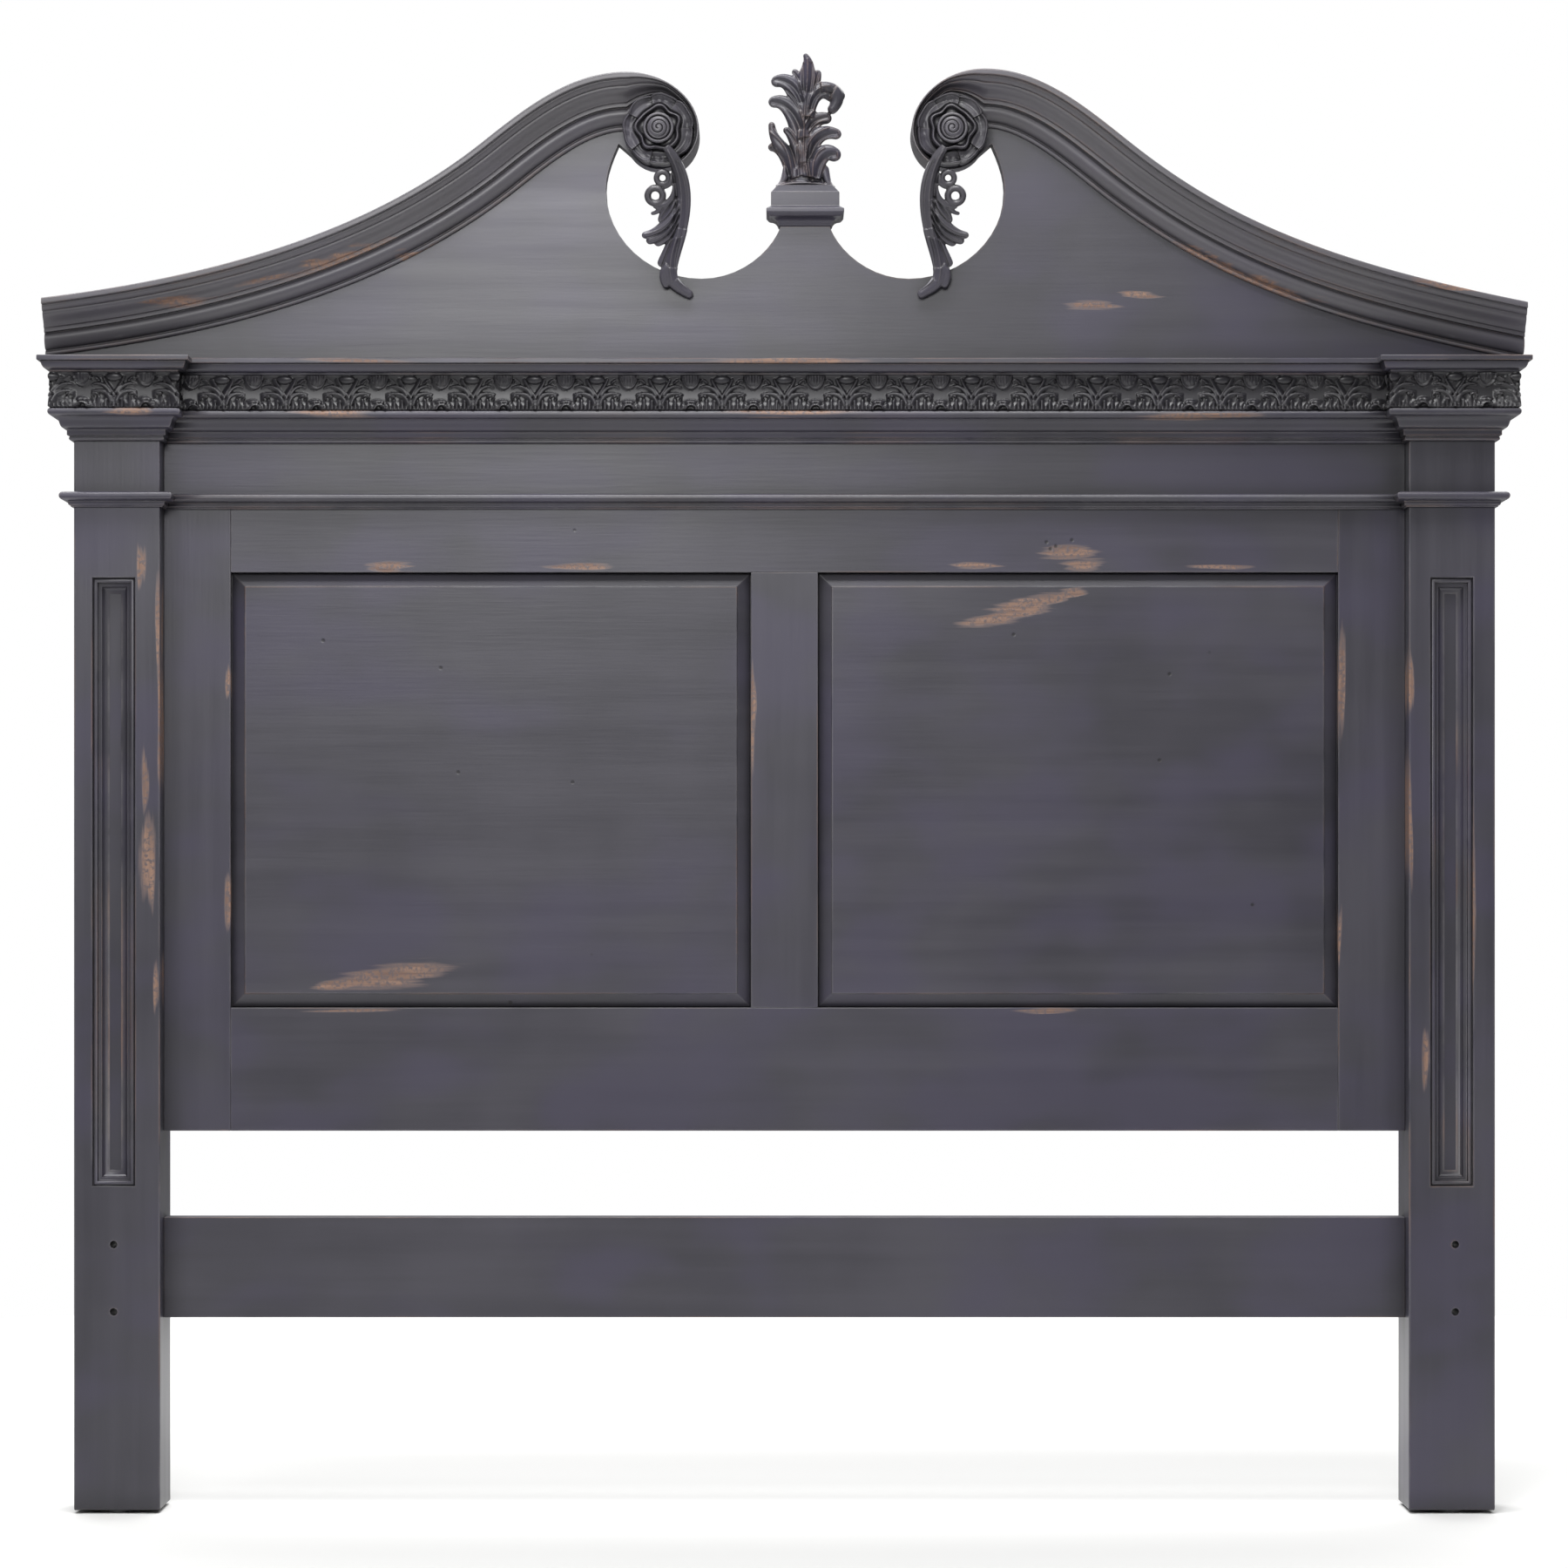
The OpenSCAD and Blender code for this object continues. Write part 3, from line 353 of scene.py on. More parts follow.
def painted(name, grain, spots=(), dents=(), edge_wear=1.0, bare_edges=0.6,
            hollow=0.75, reach=40, dirt=0.0, worn=0.0, seed=0.0):
    """Distressed charcoal paint over mahogany, rubbed through on edges and in spots, the rubbed
    edges also lightened as a painted highlight. Hollows closer than reach millimetres to something in front
    of them hold dark glaze as painted shade. One setting darkens the whole piece towards that glaze colour,
    another moves it towards rubbed paint, as wear and painted sheen."""
    material = bpy.data.materials.new("paint_" + name)
    material.use_nodes = True
    tree = material.node_tree
    shader = tree.nodes["Principled BSDF"]
    place = add(tree, "TexCoord").outputs["Object"]
    moved = vector_math(tree, "ADD", place, (seed, seed * 1.7, seed * 0.6))
    along = stretched(tree, moved, GRAIN[grain])

    clouds = noise(tree, moved, 3.1, 3, 0.5)
    streaks = noise(tree, along, 1.6, 5, 0.6)
    fine = noise(tree, along, 9.0, 4, 0.6)
    tint = noise(tree, stretched(tree, moved, (1, 1, 1.6)), 4.3, 2, 0.5)
    broken = noise(tree, along, 5.5, 6, 0.7)
    grit = noise(tree, moved, 190, 3, 0.6)

    tone = calc(tree, "ADD", calc(tree, "MULTIPLY", clouds, 0.7), calc(tree, "MULTIPLY", streaks, 0.3))
    paint = blend(tree, step(tree, tone, 0.30, 0.70), PAINT_DARK, PAINT_LIGHT)
    violet = calc(tree, "MULTIPLY", step(tree, tint, 0.42, 0.66), 0.65)
    paint = blend(tree, violet, paint, PAINT_VIOLET)
    # the whole piece darker towards the glaze colour
    paint = blend(tree, dirt, paint, PAINT_GLAZE)
    # the whole piece lighter towards rubbed paint, partly wear and partly painted sheen
    paint = blend(tree, worn, paint, PAINT_RUBBED)

    # painted shade in the hollows and close beside nearer parts, laid on as a dark glaze
    open_air = add(tree, "AmbientOcclusion", {"Distance": reach * MM}, samples=2).outputs["AO"]
    sunk = calc(tree, "MULTIPLY", step(tree, open_air, 0.95, 0.35), hollow)
    paint = blend(tree, sunk, paint, PAINT_GLAZE)

    # rubbed edges: worn paint, lightened also as a painted highlight
    rounded = add(tree, "Bevel", {"Radius": EDGE_REACH}, samples=2).outputs[0]
    normal = add(tree, "NewGeometry").outputs["Normal"]
    edge = step(tree, vector_math(tree, "DOT_PRODUCT", rounded, normal), 0.996, 0.92)
    edge = calc(tree, "MULTIPLY", edge, step(tree, open_air, 0.45, 0.72))
    rub = calc(tree, "MULTIPLY", edge, step(tree, noise(tree, moved, 14, 4), 0.30, 0.60))
    paint = blend(tree, calc(tree, "MULTIPLY", rub, 0.8 * min(1, edge_wear)), paint, PAINT_RUBBED)

    # wood that shows through on edges here and there
    patchy = noise(tree, moved, 3.7, 2)
    bare = calc(tree, "MULTIPLY", edge, step(tree, patchy, 0.56 - 0.06 * edge_wear, 0.66 - 0.06 * edge_wear))
    bare = calc(tree, "MULTIPLY", bare, calc(tree, "MULTIPLY", step(tree, broken, 0.40, 0.52), bare_edges))

    # spots on the front, rubbed thin round their rim and bare in their middle, with paint left
    # in the pores
    if spots:
        ragged = add(tree, "TexNoise", {"Vector": along, "Scale": 4.0, "Detail": 4}).outputs["Color"]
        ragged = vector_math(tree, "SUBTRACT", ragged, (0.5, 0.5, 0.5))
        across_grain = (RAGGED_ACROSS, 0, RAGGED_ALONG)
        ragged_xz = (RAGGED_ALONG, 0, RAGGED_ACROSS) if grain == "x" else across_grain
        ragged = vector_math(tree, "MULTIPLY", ragged, ragged_xz)
        inside = spot_mask(tree, vector_math(tree, "ADD", place, ragged), spots)
        amount = calc(tree, "ADD", inside, calc(tree, "MULTIPLY", calc(tree, "SUBTRACT", broken, 0.5), 1.5))
        amount = calc(tree, "MULTIPLY", amount, step(tree, inside, 0.0, 0.12))
        depth = add(tree, "SeparateXYZ", {"Vector": place}).outputs["Y"]
        amount = calc(tree, "MULTIPLY", amount, step(tree, depth, mid_y * MM, 0.8 * mid_y * MM))
        paint = blend(tree, calc(tree, "MULTIPLY", step(tree, amount, 0.22, 0.5), 0.7), paint, PAINT_THIN)
        open_grain = calc(tree, "MULTIPLY", step(tree, amount, 0.42, 0.80), step(tree, grit, 0.62, 0.46))
        bare = calc(tree, "MAXIMUM", bare, open_grain)
    wood = blend(tree, step(tree, fine, 0.3, 0.7), WOOD_DARK, WOOD_LIGHT)
    colour = blend(tree, calc(tree, "MULTIPLY", bare, 0.72), paint, wood)

    # dents and wormholes
    pits = add(
        tree, "TexVoronoi", {"Vector": moved, "Scale": 11.0, "Randomness": 1.0}, feature="F1"
    ).outputs["Distance"]
    chosen = step(tree, noise(tree, moved, 2.7, 1), 0.55, 0.62)
    pit = calc(tree, "MULTIPLY", step(tree, pits, 0.045, 0.02), chosen)
    if dents:
        pit = calc(tree, "MAXIMUM", pit, dent_mask(tree, place, dents))
    colour = blend(tree, calc(tree, "MULTIPLY", pit, 0.8), colour, PIT_DARK)

    # satin paint, duller where bare; bump from grain, pits and slow waves
    shine = calc(tree, "ADD", 0.29, calc(tree, "MULTIPLY", streaks, 0.14))
    shine = calc(tree, "ADD", shine, calc(tree, "MULTIPLY", bare, 0.14))
    lows = calc(tree, "SUBTRACT", calc(tree, "MULTIPLY", fine, 0.5), pit)
    lows = calc(tree, "SUBTRACT", lows, calc(tree, "MULTIPLY", bare, 0.5))
    waves = calc(tree, "MULTIPLY", noise(tree, moved, 7.0, 2), 2.0)
    height = calc(tree, "ADD", lows, waves)
    bump = add(tree, "Bump", {"Height": height, "Strength": 0.35, "Distance": 0.0006}).outputs[0]
    put(tree, shader.inputs["Base Color"], colour)
    put(tree, shader.inputs["Roughness"], shine)
    put(tree, shader.inputs["Normal"], bump)
    shader.inputs["Specular IOR Level"].default_value = 0.5
    return material


def bare_wood(name, grain):
    material = bpy.data.materials.new(name)
    material.use_nodes = True
    tree = material.node_tree
    place = add(tree, "TexCoord").outputs["Object"]
    along = stretched(tree, place, GRAIN[grain])
    rings = noise(tree, along, 3.2, 6, 0.65)
    pores = noise(tree, stretched(tree, along, (1, 3, 3)), 14, 2)
    colour = blend(tree, step(tree, rings, 0.3, 0.7), MAHOGANY_DARK, MAHOGANY_LIGHT)
    colour = blend(tree, step(tree, pores, 0.62, 0.72), colour, MAHOGANY_PORE)
    shader = tree.nodes["Principled BSDF"]
    put(tree, shader.inputs["Base Color"], colour)
    put(tree, shader.inputs["Roughness"], calc(tree, "ADD", 0.48, calc(tree, "MULTIPLY", rings, 0.2)))
    bump = add(tree, "Bump", {"Height": pores, "Strength": 0.4, "Distance": 0.0004}).outputs[0]
    put(tree, shader.inputs["Normal"], bump)
    return material


def scuffed(name, dark, light, metallic, roughness):
    """Zinc-plated steel or hard plastic, with fine scuffs."""
    material = bpy.data.materials.new(name)
    material.use_nodes = True
    tree = material.node_tree
    place = add(tree, "TexCoord").outputs["Object"]
    marks = noise(tree, place, 240, 5, 0.7)
    shader = tree.nodes["Principled BSDF"]
    shader.inputs["Metallic"].default_value = metallic
    put(tree, shader.inputs["Base Color"], blend(tree, step(tree, marks, 0.35, 0.65), dark, light))
    put(tree, shader.inputs["Roughness"], calc(tree, "ADD", roughness, calc(tree, "MULTIPLY", marks, 0.2)))
    bump = add(tree, "Bump", {"Height": marks, "Strength": 0.2, "Distance": 0.0002}).outputs[0]
    put(tree, shader.inputs["Normal"], bump)
    return material


raw = {"x": bare_wood("mahogany_across", "x"), "z": bare_wood("mahogany_upright", "z")}
steel = scuffed("screw_steel", (0.30, 0.30, 0.31), (0.62, 0.61, 0.60), 1.0, 0.3)
plastic = scuffed("glide_plastic", (0.018, 0.018, 0.019), (0.05, 0.05, 0.052), 0.0, 0.45)


# ---------- joinery: the CAD shapes with eased edges ----------

# Where the paint is rubbed through: x, z, half length, half height, tilt
SPOTS = {
    "left_post": [(-957, 1414, 8, 37, 0), (-932, 1318, 4, 70, 0), (-946, 979, 11, 70, 0),
                  (-932, 786, 4, 33, 0), (-953, 1096, 6, 35, 0), (-929, 1180, 3, 90, 0)],
    "right_post": [(931, 1231, 5, 41, 0), (1022, 897, 5, 110, 0), (952, 686, 5, 35, 0),
                   (929, 1040, 3, 90, 0)],
    "top_rail": [(-588, 1410, 28, 7, 0), (-303, 1410, 45, 5, 0), (278, 1413, 33, 6, 0),
                 (449, 1413, 29, 9, 0), (655, 1410, 42, 5, 0), (419, 1433, 41, 10, 0)],
    "bottom_rail": [(-655, 747, 60, 3, 0), (395, 747, 44, 3, 0)],
    "centre_stile": [(-48, 1182, 5, 73, 0), (-44, 1203, 4, 24, 0)],
    "left_stile": [(-832, 1244, 4, 21, 0), (-832, 903, 4, 35, 0)],
    "right_stile": [(831, 1233, 5, 77, 0), (828, 856, 4, 33, 0)],
    "left_panel": [(-579, 800, 84, 17, 6), (-665, 785, 30, 6, 0)],
    "right_panel": [(343, 1345, 78, 14, 17), (414, 1366, 35, 8, 20)],
    "pediment_board": [(461, 1802, 38, 8, 0), (537, 1818, 26, 5, 0)],
    "cornice_cap": [(0, 1713, 105, 5, 0), (-631, 1713, 70, 5, 0)],
    "crown_left": [(-642, 1871, 94, 11, 18), (-911, 1804, 37, 5, 7), (-771, 1839, 47, 5, 11)],
    "bed_left": [(-543, 1875, 44, 9, 24)],
    "crown_right": [(985, 1825, 47, 4, -8)],
    "bed_right": [(698, 1836, 90, 11, -22), (622, 1872, 35, 7, -30)],
    "architrave_moulding_centre": [(-661, 1638, 59, 6, 0), (13, 1638, 100, 6, 0), (622, 1632, 82, 6, 0)],
    "architrave_moulding_left": [(-964, 1637, 28, 6, 0)],
}
DENTS = {
    "left_panel": [(-514, 1259), (-317, 1088), (-488, 1103), (-690, 1300)],
    "right_panel": [(576, 1250), (561, 1121), (343, 1309), (700, 905)],
    "top_rail": [(392, 1447), (398, 1437), (406, 1441), (430, 1450)],
}


def joinery_paint(name, grain, seed, **options):
    return painted(name, grain, SPOTS.get(name, ()), dents=DENTS.get(name, ()), seed=seed, **options)


softened("left_post", joinery_paint("left_post", "z", 1.3), 2.0, 30)
softened("right_post", joinery_paint("right_post", "z", 2.9), 2.0, 30)
for name, grain, seed in (
    ("lower_rail", "x", 3.1), ("bottom_rail", "x", 4.7), ("top_rail", "x", 5.2), ("left_stile", "z", 6.4),
    ("right_stile", "z", 7.7), ("centre_stile", "z", 8.3), ("architrave_board", "x", 9.6),
):
    softened(name, joinery_paint(name, grain, seed), 0.9)
for name, seed in (("left_panel", 10.2), ("right_panel", 11.9)):
    softened(name, joinery_paint(name, "x", seed), 1.0)
softened("pediment_board", joinery_paint("pediment_board", "x", 12.5), 1.2)
softened("cornice_cap", joinery_paint("cornice_cap", "x", 13.1), 1.6)
softened("finial_plinth", joinery_paint("finial_plinth", "x", 14.4), 1.2, 6)
for name in ("left_batten", "centre_batten", "right_batten"):
    softened(name, raw["z"], 1.5)
softened("corner_blocks", raw["z"], 1.2)
for name in ("left_foot_glides", "right_foot_glides"):
    softened(name, plastic, 1.2, 1.0)

# Pegs, dowels, screws and pins keep their CAD shapes
for material, names in (
    (raw["x"], ("lower_rail_pegs", "frame_pegs", "pediment_dowels", "rosette_dowels", "finial_dowel")),
    (steel, ("cap_screws", "batten_screws", "dropper_pins")),
):
    for name in names:
        nodes[name].data.materials.clear()
        nodes[name].data.materials.append(material)


# Carvings get painted shade in their hollows at full strength, as dark glaze
def carved_paint(name, seed, reach=20, bare_edges=0.0, **options):
    return painted(name, "none", seed=seed, hollow=1.0, reach=reach, bare_edges=bare_edges, **options)


# ---------- mouldings along the entablature ----------

# Each path point is (x, y, mitre x, mitre y): a profile point that projects by p stands at
# (x + p * mitre x, y + p * mitre y)
centre_path = [(-inner, face_y, 1, -1), (inner, face_y, -1, -1)]
right_path = [
    (inner, face_y, -1, -1), (inner, post_front, -1, -1), (outer, post_front, 1, -1), (outer, post_back, 1, 0)
]
left_path = [(-x, y, -mx, my) for x, y, mx, my in right_path]
paths = {"centre": centre_path, "left": left_path, "right": right_path}


def stations(path, spacing):
    points = [np.array(p, float) for p in path]
    out = []
    for a, b in zip(points, points[1:]):
        n = max(1, int(np.abs((b - a)[:2]).max() / spacing))
        out += [a + (b - a) * i / n for i in range(n)]
    return np.array(out + [points[-1]])


def along_path(path, spacing, profile):
    """Rings of (x, y, z) for a profile of (projection, height) points."""
    s = stations(path, spacing)[:, None, :]
    p, h = profile[None, :, 0], profile[None, :, 1]
    x, y = s[..., 0] + p * s[..., 2], s[..., 1] + p * s[..., 3]
    return np.stack([x, y, np.broadcast_to(h, x.shape)], -1)


def entablature_run(kind, profile, seed):
    """The centre, left and right run of one moulding."""
    z = corners(kind + "_centre")[0].z
    profile = eased(profile) + [0, z]
    for side, path in paths.items():
        node = f"{kind}_{side}"
        piece = skin(node + "_run", along_path(path, 40, profile), 50)
        stands_for(piece, node, joinery_paint(node, "x", seed + len(side), edge_wear=1.2))


def nose(p, low, high, n=10):
    r = (high - low) / 2
    return arc(p - r, low + r, r, -90, 90, n)


neck_h = height_of("neck_bead_centre")
neck_profile = np.concatenate([
    [[0, 0], [4, 0], [4.5, 2]], arc(4.5, 5, 3, -90, 0, 5), [[7.5, neck_h - 14], [9, neck_h - 13]],
    nose(19.5, neck_h - 12.5, neck_h), [[0, neck_h]]
])
entablature_run("neck_bead", neck_profile, 20.0)

arch_h = height_of("architrave_moulding_centre")
arch_profile = np.concatenate([
    [[0, 0], [3.5, 0]], arc(3.5, 3.5, 3, -90, 60, 6), [[6.5, 8], [9, 8], [9, 15.5]],
    [[10.5, 17]], bezier([12, 17.5], [20, 18], [17, 30], [24, 34], 10), [[25, 35]],
    nose(34, arch_h - 12, arch_h), [[0, arch_h]]
])
entablature_run("architrave_moulding", arch_profile, 25.0)

cornice_h = height_of("cornice_moulding_centre")
cornice_profile = np.concatenate([
    [[0, 0], [30, 0], [31, 0.8], [31, 3]], bezier([32, 3.4], [40, 4], [41, 8], [43, cornice_h - 1.5], 8),
    [[43, cornice_h], [0, cornice_h]]
])
entablature_run("cornice_moulding", cornice_profile, 30.0)


# ---------- carved frieze ----------

PITCH = 93
BUD_X = PITCH / 2
# Depth of the ground between the carved motifs
GROUND = -1.5


def frieze_relief(u, v, high):
    """Height of the carving at u along the frieze and v up it. A leaf rises at u = 0, and
    a bud hangs above an arch half a pitch to each side."""
    a = (u / PITCH + 0.5) % 1 * PITCH - BUD_X
    s = np.abs(a)
    b = BUD_X - s
    p = np.stack([s, v], -1).reshape(-1, 2)
    shape = a.shape
    height = np.full(shape, GROUND)

    def lay(line, width, tall, thin=0.5):
        nonlocal height
        height = np.maximum(height, GROUND + ridge(p, line, width, tall, thin).reshape(shape))

    # flutes that stand along the foot, with pointed tips
    tips = 17 + 3.5 * np.cos(2 * np.pi * s / 11.6)
    flute = np.abs(np.cos(np.pi * s / 5.8)) ** 0.6 * 3.4 * smooth_step(v, tips, tips - 9)
    height = np.maximum(height, np.where(b > 12, GROUND + flute, GROUND))
    # leaf: a stem that forks, a curled lobe on each side and a smaller one above it
    lay(np.array([[0, 0], [0, 21]]), 3.4, 5.2, 0.8)
    lay(bezier([0, 17], [2, 27], [11, 33], [15, 45], 10), 2.6, 5.4, 0.8)
    lay(bezier([4, 10], [8, 24], [20, 27], [33, 23], 12), 4.6, 5.6, 0.45)
    lay(bezier([6, 22], [12, 34], [22, 38], [32, 34], 12), 3.8, 5.2, 0.4)
    lay(bezier([24, 20], [30, 24], [36, 18], [31, 16], 8), 2.0, 4.6, 0.7)
    lay(bezier([22, 40], [27, 47], [33, 46], [31, 41], 8), 2.0, 4.4, 0.7)
    # lens between the fork's arms
    lens = 1 - (s / 12.5) ** 2 - ((v - 45) / 6.5) ** 2
    height = np.maximum(height, np.where(lens > 0, GROUND + 4.6 * np.sqrt(np.clip(lens, 0, 1)), GROUND))
    # arch over a hollow, with a fan of petals
    r, turn = np.hypot(b, v), np.arctan2(v, b)
    fan = 4.4 * np.abs(np.sin(3.5 * turn + 0.25)) ** 0.5 * smooth_step(r, 17.5, 13) * smooth_step(r, 9, 11)
    ring = 5.6 * np.sqrt(np.clip(1 - ((r - 8.2) / 2.3) ** 2, 0, 1))
    height = np.maximum(height, GROUND + np.maximum(fan, ring))
    height = np.where(r < 6.2, -3.5 + 1.2 * np.clip(1 - r / 3, 0, 1), height)
    # hanging bud: a fluted half round with a rim
    q = np.sqrt((b / 14) ** 2 + ((high - v) / 21.5) ** 2)
    fluting = 1.6 * np.abs(np.cos(np.pi * b / 4.6)) * smooth_step(q, 0.8, 0.5)
    bud = 4.4 * np.sqrt(np.clip(1 - q ** 2, 0, 1)) + fluting
    rim = 4.6 * np.sqrt(np.clip(1 - ((q - 0.9) / 0.12) ** 2, 0, 1))
    height = np.where(q < 1.03, np.maximum(GROUND + np.maximum(bud, rim), GROUND), height)
    # everything runs out into plain edges at the head and foot
    return height * smooth_step(v, 0, 1.5) * smooth_step(v, high, high - 1.5)


def carved_frieze(side, spacing=1.2):
    node = "frieze_" + side
    lo, hi = corners("frieze_centre")
    high = hi.z - lo.z
    v = np.linspace(0, high, 42)
    base = 31.5 - 2.6 * np.sin(np.pi * v / high)
    flat = np.stack([base, v + lo.z], -1)
    rings = along_path(paths[side], spacing, flat)
    s = stations(paths[side], spacing)
    # distance along the run, from the middle of the leg that it is on
    x, y = rings[..., 0], rings[..., 1]
    on_front = np.abs(s[:, 3]) > 0.99 if side == "centre" else (np.abs(s[:, 1] - post_front) < 0.01)
    post_mid = 0 if side == "centre" else math.copysign((inner + outer) / 2, s[0, 0])
    u = np.where(on_front[:, None], x - post_mid, y - (post_front + post_back) / 2)
    cut = frieze_relief(u, np.broadcast_to(v, u.shape), high)
    rings[..., 0] += cut * s[:, None, 2]
    rings[..., 1] += cut * s[:, None, 3]
    back = along_path(paths[side], spacing, np.array([[0, hi.z], [0, lo.z]]))
    piece = skin(node + "_carving", np.concatenate([rings, back], 1), 50)
    # The frieze is darkened overall towards the glaze colour
    stands_for(piece, node, carved_paint(node, 35 + len(side), reach=14, dirt=0.8, edge_wear=0.5))


for side in paths:
    carved_frieze(side)


# ---------- swan-neck mouldings ----------

INFLECTION = (479, 323)
NECK = (266, 428)
SCROLL = 60
ROSE_OUT = (rose_lo.x + rose_hi.x) / 2 - crest_x
ROSE_UP = (rose_lo.z + rose_hi.z) / 2 - crest_z
END_RISE = 87
# How much the right arm's neck stands above the left one's
NECK_UNEVEN = 5
CROWN_W = 48
# Over this length before the scroll the mouldings narrow, and the crown ends this wide
CURL_RUN = 60
CURL_W = 14


def arm_line(side):
    """Outer line of one arm from its outer end, x from the crest and z from the cap."""
    uneven = side * NECK_UNEVEN
    e = np.array([half_cap - side * crest_x, END_RISE - 0.6 * uneven])
    slope = 0.16 + 0.008 * uneven
    bend = np.array([INFLECTION[0], INFLECTION[1] + 0.2 * uneven])
    top = np.array([NECK[0], NECK[1] + 0.5 * uneven])
    turn = np.array([ROSE_OUT - SCROLL, ROSE_UP])
    return np.concatenate([
        [e + [20, -20 * slope]],
        bezier(e, e + [-300, 300 * slope], bend + [147, -147 * 0.8], bend, 40),
        bezier(bend, bend + [-70, 70 * 0.8], top + [80, 0], top, 26)[1:],
        bezier(top, top - [60, 0], turn + [0, 45], turn, 20)[1:],
        arc(ROSE_OUT, ROSE_UP, SCROLL, 180, 235, 12)[1:],
    ])


def swept_arm(name, node, side, profile, material):
    """Profile points are (distance in from the arm's outer line, projection from the board)."""
    line = arm_line(side)
    d = np.gradient(line, axis=0)
    inward = np.stack([-d[:, 1], d[:, 0]], 1) / np.linalg.norm(d, axis=1)[:, None]
    curl = np.clip((NECK[0] - line[:, 0]) / CURL_RUN, 0, 1)[:, None]
    s = profile[None, :, 0]
    k = s * (1 - curl) + np.minimum(s, CURL_W * s / CROWN_W) * curl
    flat = line[:, None, :] + k[..., None] * inward[:, None, :]
    y = np.broadcast_to(face_y - profile[None, :, 1], k.shape)
    rings = np.stack([side * flat[..., 0] + crest_x, y, flat[..., 1] + crest_z], -1)
    piece = skin(name, rings, 42)
    bm = bmesh.new()
    bm.from_mesh(piece.data)
    end = Vector((side * half_cap * MM, 0, 0))
    geometry = list(bm.verts) + list(bm.edges) + list(bm.faces)
    cut = bmesh.ops.bisect_plane(bm, geom=geometry, plane_co=end, plane_no=(side, 0, 0), clear_outer=True)
    rim = [g for g in cut["geom_cut"] if isinstance(g, bmesh.types.BMEdge)]
    bmesh.ops.contextual_create(bm, geom=rim)
    bm.to_mesh(piece.data)
    bm.free()
    finish_mesh(piece.data, 42)
    stands_for(piece, node, material)


crown_profile = eased(np.concatenate([
    [[0, -(back_y - face_y)], [0, 42]], arc(3.5, 42.5, 3.5, 180, 90, 5), [[8.5, 46], [9.2, 45]],
    [[9.4, 41], [10.5, 40]], bezier([11, 40.5], [14, 40], [16, 39], [18.5, 36.5], 5),
    [[19, 33.5], [20.5, 33.5]], bezier([21, 33.5], [30, 33], [31, 23], [41, 22], 12),
    [[42, 20.5], [42.4, 18.5], [47.5, 18.5], [CROWN_W, 18]],
    [[CROWN_W, 0], [8, 0], [8, -(back_y - face_y)]]
]), 0.7)
bed_profile = eased(np.concatenate([
    [[47.9, 0], [47.9, 13.5], [49.5, 13.5]], bezier([50, 14], [56, 19], [68, 15], [72, 7], 10),
    [[72.6, 3.5], [74, 3.2]], arc(77.5, 3.6, 3.4, 170, 0, 8), [[81, 0]]
]), 0.5)
for side, word in ((-1, "left"), (1, "right")):
    # Crown and bed mouldings are lightened towards rubbed paint, partly wear and partly painted sheen
    crown = joinery_paint("crown_" + word, "x", 40 + side, edge_wear=1.2, hollow=0.6, reach=9, worn=0.5)
    bed = joinery_paint("bed_" + word, "x", 44 + side, hollow=0.6, reach=9, worn=0.42)
    swept_arm(word + "_crown_sweep", word + "_crown_moulding", side, crown_profile, crown)
    swept_arm(word + "_bed_sweep", word + "_bed_moulding", side, bed_profile, bed)


# ---------- sticking in the posts' recesses ----------

def recess_sticking(word, seed):
    """Four mitred sides, a ring of profile points at each corner."""
    node = word + "_recess_moulding"
    lo, hi = corners(node)
    deep = hi.y - lo.y
    profile = eased(np.concatenate([
        [[0, 17.9], [0, 3.2]], arc(3.8, 4.2, 3.2, 185, 360, 10), [[7.4, 8.2], [8.6, 8.6], [12.4, 8.8]],
        bezier([12.8, 10.6], [15, 14.5], [19, 15.5], [22.6, 16.2], 8), [[23, 17.9]]
    ]), 0.5)
    profile[:, 1] = np.minimum(profile[:, 1], deep)
    rings = []
    for cx, cz, sx, sz in (
        (lo.x, lo.z, 1, 1), (hi.x, lo.z, -1, 1), (hi.x, hi.z, -1, -1), (lo.x, hi.z, 1, -1)
    ):
        rings.append([(cx + sx * q[0], lo.y + q[1], cz + sz * q[0]) for q in profile])
    n, k = 4, len(profile)
    faces = []
    for i in range(n):
        for j in range(k):
            a, b = i * k + j, i * k + (j + 1) % k
            c, d = (i + 1) % n * k + (j + 1) % k, (i + 1) % n * k + j
            faces.append([a, b, c, d])
    piece = new_piece(node + "_ring", np.array(rings).reshape(-1, 3), faces, 40)
    stands_for(piece, node, painted(node, "z", seed=seed))


recess_sticking("left", 50.5)
recess_sticking("right", 51.7)


# ---------- roses ----------

# Where each outer petal of a rose begins, in degrees
PETAL_EDGES = [-38, 27, 77, 124, 179, 234, 285, 322, 387]


